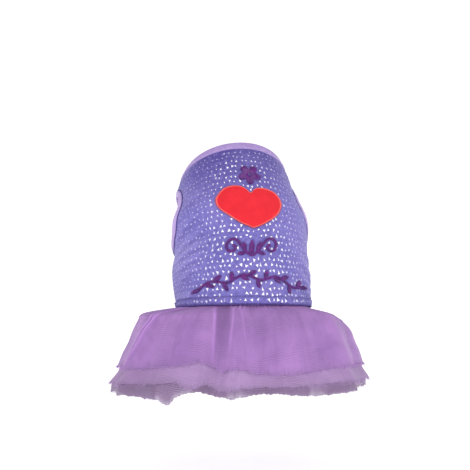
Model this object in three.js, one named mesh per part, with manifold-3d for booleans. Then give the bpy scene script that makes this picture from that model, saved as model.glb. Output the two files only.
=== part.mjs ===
// A dress for a small dog, in the form that it has when worn: a sleeveless vest with bound
// edges, an applied heart and embroidery on its back, and a skirt of three gathered tulle layers.
// Millimetres, +Z up. The vest's back faces -Y and its right side +X. The origin is the middle
// of the body's hollow at the waist seam. The body leans: the neck lies forward, towards +Y.
import * as THREE from "three";
import { mergeVertices } from "three/addons/utils/BufferGeometryUtils.js";
import Module from "manifold-3d";

const wasm = await Module();
wasm.setup();

const degree = Math.PI / 180;
const clearance = 0.35; // between pieces that are sewn to each other

// The vest's body
const neckRise = 121; // neck's centre above the waist seam's centre
const neckForward = 71;
const chestWidth = 133;
const chestDepth = 148;
const neckWidth = 99.5;
const neckDepth = 113;
const waistLean = 13 * degree; // the back of each ring is higher than its front
const neckLean = 46 * degree;
const waistTilt = -1.6 * degree; // the right side of the waist is a little lower
const waistRound = 2.1; // exponent of the ring's outline: 2 is an ellipse
const neckRound = 2.04;
const clothWall = 2;
const columnsOf = { back: 20, chest: 10, skirt: 56 };

// Edges of the vest
const neckBinding = { width: 7, proud: 0.8, wall: 3.2 };
const armBinding = { width: 6, proud: 0.8, wall: 3.2, columns: 32 };
const armFlare = { left: 1.4, right: 0.3 }; // how far its back edge stands out
const hemBand = { width: 6, proud: 0.9, wall: 4 };
const armhole = { tall: 52, wide: 76, up: 0.68, turn: 105 * degree };

// Each ring from the waist up to the neck. full and deep go from the neck's width and depth
// at 0 to the chest's at 1, lean and point from the waist's lean and roundness to the neck's.
// sway is a share of the chest's width to the right.
const bodySections = [
  { up: 0.0, full: 1.0, deep: 1.0, lean: 0.0, point: 0.0, sway: 0.0 },
  { up: 0.2, full: 1.1, deep: 1.02, lean: 0.19, point: 0.0, sway: -0.006 },
  { up: 0.31, full: 1.07, deep: 1.0, lean: 0.3, point: 0.05, sway: -0.002 },
  { up: 0.43, full: 0.98, deep: 0.97, lean: 0.42, point: 0.17, sway: 0.018 },
  { up: 0.51, full: 1.08, deep: 0.95, lean: 0.5, point: 0.25, sway: 0.011 },
  { up: 0.6, full: 1.13, deep: 0.9, lean: 0.6, point: 0.4, sway: 0.0 },
  { up: 0.7, full: 0.79, deep: 0.76, lean: 0.7, point: 0.6, sway: 0.0 },
  { up: 0.8, full: 0.54, deep: 0.54, lean: 0.8, point: 0.8, sway: 0.0 },
  { up: 0.9, full: 0.39, deep: 0.28, lean: 0.9, point: 0.95, sway: -0.005 },
  { up: 1.0, full: 0.0, deep: 0.0, lean: 1.0, point: 1.0, sway: 0.0 },
];

// The skirt
const skirtDrop = 84; // longest hem's centre below the waist seam
const skirtSpreadSide = 62; // how far the hem stands out from the waist at the sides
const skirtSpreadBack = 42;
const skirtSway = -4.8; // the hem hangs a little to one side
const hemLean = 5 * degree;
const foldDepth = 7;
const foldLean = 6 * degree; // folds drift round as they fall
const gather = { count: 14, depth: 1.6, fade: 3 };
const seamDip = 0.2; // how far the hem's inside dips below the seam, as a share of its wall
const hemWave = { count: 7, depth: 0.02 };
const tulleWall = 1;
const layerGap = { seam: 1, hem: 2.2 }; // between one layer and the next
const layers = [
  { name: "skirt_top_layer", length: 0.7, colour: 0xb080cb },
  { name: "skirt_middle_layer", length: 0.86, colour: 0xa383b6 },
  { name: "skirt_under_layer", length: 1.0, colour: 0x947a9c },
];
const rowsUnderSeam = [0.5, 0.25, 0.1, 0.04, 0]; // shares of the drop, which all layers have

// The skirt's profile from the seam to the hem: down is a share of the drop, side and back are
// shares of the spread.
const skirtProfile = [
  { down: 0.0, side: 0.0, back: 0.0 },
  { down: 0.03, side: 0.16, back: 0.1 },
  { down: 0.08, side: 0.48, back: 0.24 },
  { down: 0.15, side: 0.57, back: 0.36 },
  { down: 0.27, side: 0.67, back: 0.5 },
  { down: 0.4, side: 0.73, back: 0.62 },
  { down: 0.52, side: 0.8, back: 0.72 },
  { down: 0.72, side: 0.89, back: 0.87 },
  { down: 0.84, side: 1.0, back: 0.94 },
  { down: 0.92, side: 1.02, back: 0.98 },
  { down: 1.0, side: 1.01, back: 1.02 },
];

// Pleats just under the seam: out and lift in mm, negative for a hollow, down where they are fullest.
const seamPleats = [
  { at: -84, wide: 16, out: 5.7, lift: 1.8, down: 0.08 },
  { at: 80, wide: 15, out: -1.2, lift: -4.6, down: 0.08 },
];

// Folds round the skirt: at and wide in degrees from the middle of the back, proud as a share
// of the fold's depth, negative for a hollow.
const skirtFolds = [
  { at: -88, wide: 9, proud: 0.7 },
  { at: -70, wide: 7, proud: 1.0 },
  { at: -57, wide: 7, proud: -0.5 },
  { at: -42, wide: 10, proud: 0.4 },
  { at: -26, wide: 5, proud: 0.6 },
  { at: -18, wide: 6, proud: -1.0 },
  { at: -10, wide: 6, proud: 0.8 },
  { at: 1, wide: 8, proud: -0.7 },
  { at: 17, wide: 9, proud: 0.4 },
  { at: 33, wide: 7, proud: -0.4 },
  { at: 48, wide: 8, proud: 0.9 },
  { at: 64, wide: 7, proud: -0.4 },
  { at: 84, wide: 9, proud: 0.7 },
  { at: 112, wide: 10, proud: -0.6 },
  { at: 138, wide: 11, proud: 0.7 },
  { at: 165, wide: 11, proud: -0.6 },
  { at: 192, wide: 11, proud: 0.7 },
  { at: 219, wide: 11, proud: -0.6 },
  { at: 246, wide: 10, proud: 0.6 },
];

// Trimmings on the back: places are across from the middle and up from the waist seam
const heart = { width: 66, height: 46.5, across: 3, up: 78, wall: 1, columns: 20, rows: 4 };
const heartBorder = { width: 2.4, wall: 1.4 };
const embroidery = { wall: 1.1 };
const leafShape = { blunt: 0.04, steps: 4 };
const flower = { across: 6, up: 137, petals: 5, reach: 11.5, waist: 3.8, hub: 1.6, full: 0.6, columns: 40 };
const scroll = { across: 1, up: 59, half: 25, rise: 10, width: 2.6, steps: 20 };
const vine = { up: 23, half: 50, arch: 9, wave: 3, waves: 3, width: 2.4, steps: 24 };
const vineLeaf = { count: 12, length: 10, wide: 4.4, turn: 52 * degree, tuck: 0.013 };

// The heart's outline from its left side at 0 degrees to its right side at 180: lower and upper
// are shares of its height.
const heartEdges = [
  { round: 0, lower: 0.63, upper: 0.69 },
  { round: 22, lower: 0.487, upper: 0.81 },
  { round: 45, lower: 0.319, upper: 0.965 },
  { round: 66, lower: 0.133, upper: 1.0 },
  { round: 80, lower: 0.043, upper: 0.955 },
  { round: 88, lower: 0.0, upper: 0.875 },
  { round: 93, lower: 0.016, upper: 0.81 },
  { round: 103, lower: 0.062, upper: 0.915 },
  { round: 115, lower: 0.14, upper: 0.938 },
  { round: 130, lower: 0.243, upper: 0.917 },
  { round: 150, lower: 0.393, upper: 0.84 },
  { round: 165, lower: 0.525, upper: 0.735 },
  { round: 180, lower: 0.6, upper: 0.65 },
];

// The scroll's right curl, which the left half mirrors: across is a share of the half width,
// rise of the rise. Its leaves start at a bend and point along turn.
const curlBends = [
  { across: 0, rise: -0.9 },
  { across: 0.22, rise: -0.55 },
  { across: 0.42, rise: 0.15 },
  { across: 0.62, rise: 0.75 },
  { across: 0.86, rise: 0.8 },
  { across: 1, rise: 0.25 },
  { across: 0.9, rise: -0.35 },
  { across: 0.7, rise: -0.35 },
  { across: 0.64, rise: 0.05 },
  { across: 0.76, rise: 0.2 },
];
const curlLeaves = [
  { bend: 0, turn: 90 * degree, length: 16, wide: 5.5 },
  { bend: 1, turn: 74 * degree, length: 11, wide: 4.4 },
  { bend: 1, turn: -14 * degree, length: 9, wide: 4 },
];

const silk = { purple: 0x551273, red: 0xf0343c, coral: 0xff5f55 };
const cloth = { violet: 0x736cbe, lilac: 0xbea5e1 };

// A table with a named first column, read at any value of it along a smooth curve.
function readTable(rows) {
  const [key, ...names] = Object.keys(rows[0]);
  const places = rows.map((row) => row[key]);
  const values = rows.flatMap((row) => names.map((name) => row[name]));
  const curve = new THREE.CubicInterpolant(places, values, names.length);
  return (place) => {
    const found = [...curve.evaluate(THREE.MathUtils.clamp(place, places[0], places.at(-1)))];
    return Object.fromEntries(names.map((name, i) => [name, found[i]]));
  };
}

const bodySection = readTable(bodySections);
const skirtSection = readTable(skirtProfile);
const heartEdge = readTable(heartEdges);
const mix = THREE.MathUtils.lerp;
const signedPower = (value, power) => Math.sign(value) * Math.abs(value) ** power;

// A point of a leaning ring. turn is 0 at the middle of the back and grows towards +X.
function ringPoint(ring, turn) {
  const across = ring.halfWidth * signedPower(Math.sin(turn), 2 / ring.round);
  const out = ring.halfDepth * signedPower(Math.cos(turn), 2 / ring.round);
  const { x, y, z } = ring.centre;
  const rise = out * Math.sin(ring.lean) + across * Math.tan(ring.tilt);
  return new THREE.Vector3(x + across, y - out * Math.cos(ring.lean), z + rise);
}

function bodyRing(up) {
  const section = bodySection(up);
  return {
    centre: new THREE.Vector3(section.sway * chestWidth, neckForward * up, neckRise * up),
    halfWidth: mix(neckWidth, chestWidth, section.full) / 2,
    halfDepth: mix(neckDepth, chestDepth, section.deep) / 2,
    lean: mix(waistLean, neckLean, section.lean),
    tilt: mix(waistTilt, 0, up),
    round: mix(waistRound, neckRound, section.point),
  };
}

// The vest's outer surface: up is 0 at the waist seam and 1 at the neck's edge.
const bodyPoint = (turn, up) => ringPoint(bodyRing(up), turn);
const neckLength = Math.hypot(neckRise, neckForward);
const backMiddle = bodyPoint(0, 0.5);
const backLength = bodyPoint(0, 0).distanceTo(backMiddle) + backMiddle.distanceTo(bodyPoint(0, 1));

// How far folds and gathers push the skirt outwards. Both grow from nothing at the seam.
function foldOut(turn, down) {
  const grow = Math.sqrt(Math.max(0, down));
  const drift = foldLean * Math.sin(turn) * down;
  let folds = 0;
  for (const { at, wide, proud } of skirtFolds) {
    const away = turn - drift - at * degree;
    const nearest = Math.atan2(Math.sin(away), Math.cos(away));
    folds += proud * Math.exp(-((nearest / (wide * degree)) ** 2));
  }
  const gathers = gather.depth * Math.cos(gather.count * turn) * Math.exp(-gather.fade * down);
  return grow * (foldDepth * folds + gathers);
}

// What the pleats under the seam add outwards and upwards.
function pleatPuff(turn, down) {
  const puff = { out: 0, lift: 0 };
  for (const pleat of seamPleats) {
    const away = turn - pleat.at * degree;
    const round = Math.exp(-((Math.atan2(Math.sin(away), Math.cos(away)) / (pleat.wide * degree)) ** 2));
    const share = Math.max(0, down) / pleat.down;
    const fullness = round * share * Math.exp(1 - share);
    puff.out += pleat.out * fullness;
    puff.lift += pleat.lift * fullness;
  }
  return puff;
}

// The skirt's outer surface: up is 0 at the waist seam and -1 at the longest hem.
function skirtPoint(turn, up) {
  const section = skirtSection(-up);
  const puff = pleatPuff(turn, -up);
  const out = foldOut(turn, -up) + puff.out;
  const seam = hemBand.wall - hemBand.proud; // the layers start under the inside of the hem
  const seat = -clearance - seamDip * seam;
  const ring = {
    centre: new THREE.Vector3(-skirtSway * up, 0, skirtDrop * up + seat + puff.lift),
    halfWidth: chestWidth / 2 - seam + (skirtSpreadSide + seam) * section.side + out,
    halfDepth: chestDepth / 2 - seam + (skirtSpreadBack + seam) * section.back + out,
    lean: mix(waistLean, hemLean, -up),
    tilt: mix(waistTilt, 0, -up),
    round: waistRound,
  };
  return ringPoint(ring, turn);
}

// A point at some height off a surface, along its normal.
const probe = 0.004;
function offSurface(surface, turn, up, height) {
  const round = surface(turn + probe, up).sub(surface(turn - probe, up));
  const rise = surface(turn, up + probe).sub(surface(turn, up - probe));
  return surface(turn, up).addScaledVector(round.cross(rise).normalize(), height);
}

// A closed wall over a grid: place(column, row) gives the spot on the surface, and the wall
// lies between the heights outer and inner above that spot, which may itself be raised. A ring
// wall joins its last column to its first.
function wallOver(surface, { columns, rows, ring = false, outer, inner, place }) {
  const across = ring ? columns : columns + 1;
  const points = [];
  for (const height of [outer, inner])
    for (let row = 0; row <= rows; row++)
      for (let column = 0; column < across; column++) {
        const [turn, up, raised = 0] = place(column, row);
        points.push(offSurface(surface, turn, up, height + raised));
      }
  const index = [];
  const face = (...corners) => {
    const [a, b, c, d] = corners.map(
      ([side, column, row]) => (side * (rows + 1) + row) * across + (column % across),
    );
    index.push(a, b, c, a, c, d);
  };
  for (let row = 0; row < rows; row++)
    for (let column = 0; column < columns; column++) {
      face([0, column, row], [0, column + 1, row], [0, column + 1, row + 1], [0, column, row + 1]);
      face([1, column, row], [1, column, row + 1], [1, column + 1, row + 1], [1, column + 1, row]);
    }
  for (let column = 0; column < columns; column++) {
    face([1, column, 0], [1, column + 1, 0], [0, column + 1, 0], [0, column, 0]);
    face([0, column, rows], [0, column + 1, rows], [1, column + 1, rows], [1, column, rows]);
  }
  for (let row = 0; row < rows && !ring; row++) {
    face([0, 0, row], [0, 0, row + 1], [1, 0, row + 1], [1, 0, row]);
    face([1, columns, row], [1, columns, row + 1], [0, columns, row + 1], [0, columns, row]);
  }
  return new THREE.BufferGeometry().setFromPoints(points).setIndex(index);
}

function solidOf(geometry) {
  const merged = mergeVertices(geometry, 1e-4);
  const vertProperties = merged.attributes.position.array;
  const triVerts = new Uint32Array(merged.index.array);
  return new wasm.Manifold(new wasm.Mesh({ numProp: 3, vertProperties, triVerts }));
}

// Joins geometries that overlap into one solid.
function fused(geometries) {
  const mesh = geometries.map(solidOf).reduce((sum, solid) => sum.add(solid)).getMesh();
  return new THREE.BufferGeometry()
    .setAttribute("position", new THREE.BufferAttribute(new Float32Array(mesh.vertProperties), 3))
    .setIndex(new THREE.BufferAttribute(mesh.triVerts, 1));
}

// Rows of a panel: a few below the armhole, one for each step of its edge, and a few above.
const armEdge = {
  tall: (armhole.tall / 2 + armBinding.width + clearance) / neckLength,
  wide: (armhole.wide / 2 + armBinding.width + clearance) / (chestWidth / 2),
};
const panelRowsBelow = 4;
const panelTop = 1 - (neckBinding.width + clearance) / neckLength;
const panelFoot = (hemBand.width + clearance) / neckLength;

function panelRows() {
  const low = armhole.up - armEdge.tall;
  const high = armhole.up + armEdge.tall;
  const steps = armBinding.columns / 2;
  const rows = [];
  for (let row = 0; row < panelRowsBelow; row++)
    rows.push({ up: mix(panelFoot, low, row / panelRowsBelow), reach: 0 });
  for (let step = 0; step <= steps; step++) {
    const angle = (Math.PI * step) / steps;
    rows.push({
      up: armhole.up - armEdge.tall * Math.cos(angle),
      reach: armEdge.wide * Math.sin(angle),
    });
  }
  return [...rows, { up: (high + panelTop) / 2, reach: 0 }, { up: panelTop, reach: 0 }];
}

// A panel lies round middle, as far as the seam on each side, and is cut away at the armholes.
function panel(middle, half, columns) {
  const rows = panelRows();
  const seam = clearance / chestWidth;
  return wallOver(bodyPoint, {
    columns,
    rows: rows.length - 1,
    outer: 0,
    inner: -clothWall,
    place: (column, row) => {
      const reach = half - seam - rows[row].reach;
      return [middle + reach * (2 * (column / columns) - 1), rows[row].up];
    },
  });
}

const backPanel = () => panel(0, armhole.turn, columnsOf.back);
const chestPanel = () => panel(Math.PI, Math.PI - armhole.turn, columnsOf.chest);

// The bands' columns stand on the panels' columns, from one side seam round to the same seam.
function bandTurn(column) {
  const past = column - columnsOf.back;
  if (past <= 0) return armhole.turn * ((2 * column) / columnsOf.back - 1);
  return armhole.turn + (2 * (Math.PI - armhole.turn) * past) / columnsOf.chest;
}

// A band round the body between two heights.
function bodyBand(band, from, to) {
  return wallOver(bodyPoint, {
    columns: columnsOf.back + columnsOf.chest,
    rows: 1,
    ring: true,
    outer: band.proud,
    inner: band.proud - band.wall,
    place: (column, row) => [bandTurn(column), row ? to : from],
  });
}

const neckRing = () => bodyBand(neckBinding, 1 - neckBinding.width / neckLength, 1);
const waistHem = () => bodyBand(hemBand, 0, hemBand.width / neckLength);

// The binding round an armhole, on side -1 or 1.
function armRing(side) {
  const flare = side > 0 ? armFlare.right : armFlare.left;
  return wallOver(bodyPoint, {
    columns: armBinding.columns,
    rows: 1,
    ring: true,
    outer: armBinding.proud,
    inner: armBinding.proud - armBinding.wall,
    place: (column, row) => {
      const angle = (2 * Math.PI * column) / armBinding.columns;
      const more = row ? 0 : armBinding.width;
      const wide = (armhole.wide / 2 + more) / (chestWidth / 2);
      const tall = (armhole.tall / 2 + more) / neckLength;
      const turn = side * armhole.turn + wide * Math.sin(angle);
      const behind = Math.max(0, -side * Math.sin(angle));
      return [turn, armhole.up - tall * Math.cos(angle), row ? flare * behind : 0];
    },
  });
}

// One layer of tulle. It lies under the layers before it, has a row at each of their hems and
// ends in a hem that waves a little.
function skirtLayer(number) {
  const depthAt = (down) => number * (tulleWall + mix(layerGap.seam, layerGap.hem, down));
  const surface = (turn, up) => offSurface(skirtPoint, turn, up, -depthAt(-up));
  const hems = layers.slice(0, number + 1).map((layer) => layer.length);
  const downs = [...hems.reverse(), ...rowsUnderSeam];
  return wallOver(surface, {
    columns: columnsOf.skirt,
    rows: downs.length - 1,
    ring: true,
    outer: 0,
    inner: -tulleWall,
    place: (column, row) => {
      const turn = (2 * Math.PI * column) / columnsOf.skirt;
      const wave = row ? 0 : hemWave.depth * Math.sin(hemWave.count * turn + number);
      return [turn, -downs[row] - wave];
    },
  });
}

// The back's flat chart: across from its middle and up from the waist seam, both in mm.
function backSpot(across, up) {
  const height = up / backLength;
  const ring = bodyRing(height);
  const share = THREE.MathUtils.clamp(across / ring.halfWidth, -1, 1);
  return [Math.asin(signedPower(share, ring.round / 2)), height];
}

// A spot of the heart between its lower and upper edge, drawn smaller by inset.
function heartSpot(column, row, inset) {
  const round = (180 * column) / heart.columns;
  const { lower, upper } = heartEdge(round);
  const size = 1 - (2 * inset) / heart.width;
  const share = -Math.cos(round * degree);
  const rise = 0.5 + size * (mix(lower, upper, row / heart.rows) - 0.5);
  return backSpot(heart.across + (size * share * heart.width) / 2, heart.up + rise * heart.height);
}

function heartPatch() {
  return wallOver(bodyPoint, {
    columns: heart.columns,
    rows: heart.rows,
    outer: clearance + heart.wall,
    inner: clearance,
    place: (column, row) => heartSpot(column, row, heartBorder.width + clearance),
  });
}

// The stitched border runs along the heart's lower edge and back along its upper edge.
function heartRim() {
  const half = heart.columns + 1;
  return wallOver(bodyPoint, {
    columns: 2 * half,
    rows: 1,
    ring: true,
    outer: clearance + heartBorder.wall,
    inner: clearance,
    place: (column, row) => {
      const lower = column < half;
      const across = lower ? column : 2 * half - 1 - column;
      return heartSpot(across, lower ? 0 : heart.rows, row ? heartBorder.width : 0);
    },
  });
}

// A raised stroke of satin stitch along a path on the back's chart.
function stroke(path, width, steps) {
  return wallOver(bodyPoint, {
    columns: 1,
    rows: steps,
    outer: clearance + embroidery.wall,
    inner: clearance,
    place: (column, row) => {
      const share = row / steps;
      const { x, y } = path.getPoint(share);
      const along = path.getTangent(share);
      const side = (column - 0.5) * width(share);
      return backSpot(x + along.y * side, y - along.x * side);
    },
  });
}

// A leaf from its foot along angle, with pointed ends.
function leaf(foot, angle, length, wide) {
  const tip = new THREE.Vector2(Math.cos(angle), Math.sin(angle)).multiplyScalar(length).add(foot);
  const width = (share) => wide * Math.sin(Math.PI * mix(leafShape.blunt, 1 - leafShape.blunt, share));
  return stroke(new THREE.LineCurve(foot, tip), width, leafShape.steps);
}

// A round flower with an open middle.
function flowerMotif() {
  return wallOver(bodyPoint, {
    columns: flower.columns,
    rows: 1,
    ring: true,
    outer: clearance + embroidery.wall,
    inner: clearance,
    place: (column, row) => {
      const angle = (2 * Math.PI * column) / flower.columns;
      const petal = Math.abs(Math.cos((flower.petals * angle) / 2)) ** flower.full;
      const reach = row ? flower.hub : mix(flower.waist, flower.reach, petal);
      return backSpot(flower.across + reach * Math.sin(angle), flower.up - reach * Math.cos(angle));
    },
  });
}

// Two curls that grow from one foot, with a bud between them and leaves beside it.
function scrollMotif() {
  const strokes = [];
  for (const side of [-1, 1]) {
    const bends = curlBends.map(
      ({ across, rise }) =>
        new THREE.Vector2(scroll.across + side * across * scroll.half, scroll.up + rise * scroll.rise),
    );
    strokes.push(stroke(new THREE.SplineCurve(bends), () => scroll.width, scroll.steps));
    for (const { bend, turn, length, wide } of curlLeaves.slice(side > 0 ? 0 : 1))
      strokes.push(leaf(bends[bend], side > 0 ? turn : Math.PI - turn, length, wide));
  }
  return fused(strokes);
}

// A vine in an arch over the waist, with leaves on either side in turn and one at each end.
function vineMotif() {
  const bends = 4 * vine.waves;
  const points = [];
  for (let bend = 0; bend <= bends; bend++) {
    const share = (2 * bend) / bends - 1;
    const wave = vine.wave * Math.sin((Math.PI * bend) / 2);
    points.push(new THREE.Vector2(share * vine.half, vine.up + vine.arch * (0.5 - share * share) + wave));
  }
  const path = new THREE.SplineCurve(points);
  const leafAt = (share, turn) => {
    const { x, y } = path.getTangent(share);
    return leaf(path.getPoint(share), Math.atan2(y, x) + turn, vineLeaf.length, vineLeaf.wide);
  };
  const strokes = [stroke(path, () => vine.width, vine.steps)];
  strokes.push(leafAt(vineLeaf.tuck, Math.PI), leafAt(1 - vineLeaf.tuck, 0));
  for (let number = 0; number < vineLeaf.count; number++)
    strokes.push(leafAt((number + 0.5) / vineLeaf.count, number % 2 ? vineLeaf.turn : -vineLeaf.turn));
  return fused(strokes);
}

function piece(name, geometry, color, roughness) {
  const material = new THREE.MeshStandardMaterial({ color, roughness, metalness: 0 });
  const mesh = new THREE.Mesh(geometry, material);
  mesh.name = name;
  return mesh;
}

const dress = new THREE.Group();
const vest = new THREE.Group();
vest.add(piece("back_panel", backPanel(), cloth.violet, 0.8));
vest.add(piece("chest_panel", chestPanel(), cloth.violet, 0.8));
vest.add(piece("neck_binding", neckRing(), cloth.lilac, 0.6));
vest.add(piece("armhole_binding_left", armRing(-1), cloth.lilac, 0.6));
vest.add(piece("armhole_binding_right", armRing(1), cloth.lilac, 0.6));
vest.add(piece("waist_hem", waistHem(), cloth.violet, 0.8));
const trimmings = new THREE.Group();
trimmings.add(piece("heart_patch", heartPatch(), silk.red, 0.7));
trimmings.add(piece("heart_border", heartRim(), silk.coral, 0.5));
trimmings.add(piece("flower_embroidery", flowerMotif(), silk.purple, 0.45));
trimmings.add(piece("scroll_embroidery", scrollMotif(), silk.purple, 0.45));
trimmings.add(piece("vine_embroidery", vineMotif(), silk.purple, 0.45));
const skirt = new THREE.Group();
layers.forEach((layer, number) => {
  skirt.add(piece(layer.name, skirtLayer(number), layer.colour, 0.9));
});
dress.add(vest, trimmings, skirt);

export default dress;
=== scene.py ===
# A small dress: a foil-flecked vest with an applied heart, embroidery and three tulle layers.
import math

import bpy
import numpy as np
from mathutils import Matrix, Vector


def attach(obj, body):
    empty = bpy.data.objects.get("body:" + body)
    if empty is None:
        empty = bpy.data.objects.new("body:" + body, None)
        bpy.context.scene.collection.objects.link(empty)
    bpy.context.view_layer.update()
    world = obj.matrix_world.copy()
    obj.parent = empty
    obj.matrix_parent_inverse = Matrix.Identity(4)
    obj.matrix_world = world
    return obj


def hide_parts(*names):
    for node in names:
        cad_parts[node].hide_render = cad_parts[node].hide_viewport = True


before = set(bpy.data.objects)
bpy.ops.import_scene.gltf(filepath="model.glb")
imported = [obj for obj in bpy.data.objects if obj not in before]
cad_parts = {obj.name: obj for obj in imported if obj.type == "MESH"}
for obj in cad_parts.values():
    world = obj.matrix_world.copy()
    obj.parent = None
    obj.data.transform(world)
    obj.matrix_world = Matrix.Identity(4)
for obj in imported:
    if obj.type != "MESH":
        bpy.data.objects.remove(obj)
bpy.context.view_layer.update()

mm = 0.001
degree = math.pi / 180
chance = np.random.default_rng(11)
stitchGap = 0.35  # mm between pieces that are sewn to each other
tubeSides = 4  # of each thread, so that one face closes its end


def mix(low, high, share):
    return low + (high - low) * share


def signedPower(value, power):
    return np.sign(value) * np.abs(value) ** power


def wrapped(angle):
    return np.arctan2(np.sin(angle), np.cos(angle))


def unit(vectors):
    return vectors / np.maximum(np.linalg.norm(vectors, axis=-1, keepdims=True), 1e-12)


def runAlong(line):
    # the length from the start of a line to each of its points
    return np.concatenate([[0], np.cumsum(np.linalg.norm(np.diff(line, axis=0), axis=1))])


def bump(distance, width):
    return np.exp(-((distance / width) ** 2))


def smoothTable(rows):
    # the first column is the place, the others are read along a smooth curve
    table = np.array(rows, float)
    places, values = table[:, 0], table[:, 1:]
    last = len(places) - 1

    def read(place):
        place = np.clip(np.asarray(place, float), places[0], places[-1])
        upper = np.clip(np.searchsorted(places, place, side="right"), 1, last)
        lower = upper - 1
        before = np.where(lower == 0, upper, lower - 1)
        after = np.where(upper == last, lower, np.minimum(upper + 1, last))
        span = places[upper] - places[lower]
        back = 0.5 * span / (places[lower] - places[before])
        on = 0.5 * span / (places[after] - places[upper])
        p = (place - places[lower]) / span
        weights = [
            -back * p**3 + 2 * back * p**2 - back * p,
            (1 + back) * p**3 + (-1.5 - 2 * back) * p**2 + (back - 0.5) * p + 1,
            (-1 - on) * p**3 + (1.5 + on) * p**2 + 0.5 * p,
            on * p**3 - on * p**2,
        ]
        picked = [before, lower, upper, after]
        total = sum(w[..., None] * values[i] for w, i in zip(weights, picked))
        return np.moveaxis(total, -1, 0)

    return read


def ringTable(rows):
    # turn in degrees and a value, read smoothly round the whole ring
    table = np.array(rows, float)
    round3 = np.concatenate([table - [360, 0], table, table + [360, 0]])
    read = smoothTable(round3)
    return lambda turn: read(wrapped(turn) / degree)[0]


# the vest's body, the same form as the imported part, in mm
bodyForm = {
    "neckRise": 121, "neckForward": 71,
    "chestWidth": 133, "chestDepth": 148,
    "neckWidth": 99.5, "neckDepth": 113,
    "waistLean": 13 * degree, "neckLean": 46 * degree, "waistTilt": -1.6 * degree,
    "waistRound": 2.1, "neckRound": 2.04,
    "wall": 2,
    # up, full, deep, lean, point, sway as a share of the chest's width
    "sections": [
        (0.0, 1.0, 1.0, 0.0, 0.0, 0.0),
        (0.2, 1.1, 1.02, 0.19, 0.0, -0.006),
        (0.31, 1.07, 1.0, 0.3, 0.05, -0.002),
        (0.43, 0.98, 0.97, 0.42, 0.17, 0.018),
        (0.51, 1.08, 0.95, 0.5, 0.25, 0.011),
        (0.6, 1.13, 0.9, 0.6, 0.4, 0.0),
        (0.7, 0.79, 0.76, 0.7, 0.6, 0.0),
        (0.8, 0.54, 0.54, 0.8, 0.8, 0.0),
        (0.9, 0.39, 0.28, 0.9, 0.95, -0.005),
        (1.0, 0.0, 0.0, 1.0, 1.0, 0.0),
    ],
}
# the strips, in mm: round is the length that their finish is drawn to, pucker is how deep
# the stitches pull, joins are degrees round the neck, and a flare stands off behind an armhole
neckBand = {
    "width": 7, "proud": 0.8, "wall": 3.2, "columns": 260, "round": 340,
    "pucker": 0.14, "puckers": 70, "joins": (-17, 6), "joinDip": 0.35, "joinWide": 0.8,
}
armBand = {
    "width": 6, "proud": 0.8, "wall": 3.2, "columns": 180, "round": 230,
    "pucker": 0.12, "puckers": 46, "flareLeft": 1.4, "flareRight": 2.2,
}
hemBand = {
    "width": 6, "proud": 0.9, "wall": 4, "columns": 360, "round": 446,
    "pucker": 0.3, "swell": 0.25,
}
armhole = {"tall": 52, "wide": 76, "up": 0.68, "turn": 105 * degree}
bodySection = smoothTable(bodyForm["sections"])
neckLength = math.hypot(bodyForm["neckRise"], bodyForm["neckForward"])


def ringPoint(centre, halfWidth, halfDepth, lean, tilt, roundness, turn):
    across = halfWidth * signedPower(np.sin(turn), 2 / roundness)
    out = halfDepth * signedPower(np.cos(turn), 2 / roundness)
    rise = out * np.sin(lean) + across * np.tan(tilt)
    return np.stack([centre[0] + across, centre[1] - out * np.cos(lean), centre[2] + rise], axis=-1)


def bodyRing(up):
    full, deep, lean, point, sway = bodySection(up)
    f = bodyForm
    return {
        "centre": (sway * f["chestWidth"], f["neckForward"] * up, f["neckRise"] * up),
        "halfWidth": mix(f["neckWidth"], f["chestWidth"], full) / 2,
        "halfDepth": mix(f["neckDepth"], f["chestDepth"], deep) / 2,
        "lean": mix(f["waistLean"], f["neckLean"], lean),
        "tilt": mix(f["waistTilt"], 0, up),
        "roundness": mix(f["waistRound"], f["neckRound"], point),
    }


def bodyPoint(turn, up):
    turn, up = np.broadcast_arrays(np.asarray(turn, float), np.asarray(up, float))
    return ringPoint(**bodyRing(up), turn=turn)


def offSurface(surface, turn, up, height, probe=0.004):
    turn, up = np.broadcast_arrays(np.asarray(turn, float), np.asarray(up, float))
    roundStep = surface(turn + probe, up) - surface(turn - probe, up)
    riseStep = surface(turn, up + probe) - surface(turn, up - probe)
    normal = unit(np.cross(roundStep, riseStep))
    return surface(turn, up) + normal * np.asarray(height)[..., None]


# creases of the cloth: from and to as turn in degrees and mm up, width and height in mm
vestCreases = [
    (-86, 66, -44, 80, 3.4, 1.0),
    (-84, 54, -42, 66, 3.2, 1.3),
    (-82, 43, -36, 57, 3.2, 1.5),
    (-80, 34, -40, 45, 3.0, 1.2),
    (-76, 25, -46, 34, 2.8, 0.9),
    (-60, 92, -36, 100, 2.8, 0.7),
    (-94, 7, -52, 10, 2.2, 1.9),
    (-90, 1, -60, 5, 1.8, 1.3),
    (40, 30, 90, 9, 2.6, 1.4),
    (44, 20, 86, 3, 2.2, 1.3),
    (48, 42, 98, 22, 2.8, 1.4),
    (54, 53, 96, 35, 2.6, 1.1),
    (58, 34, 98, 15, 2.0, 1.2),
    (62, 86, 84, 64, 3.0, 0.9),
    (36, 70, 62, 58, 2.6, 0.6),
    (130, 30, 175, 46, 4.0, 1.1),
    (-128, 26, -172, 44, 4.0, 1.1),
    (150, 84, 196, 70, 4.0, 0.9),
    (-160, 60, -190, 78, 4.0, 0.8),
]
arcPerTurn = 68  # mm round for each radian, near enough for the creases
vestSlack = {
    "swell": 0.3, "swellWide": 13, "swellTall": 17,  # broad waves of the cloth, mm
    "ripple": 0.2, "ripples": 3, "rippleTall": 9,
    "pucker": 0.28, "puckers": 62, "puckerTall": 4,  # at the gathered seam
    "flatEdge": 16,  # mm from the neck's edge over which they all fade
}


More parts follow.
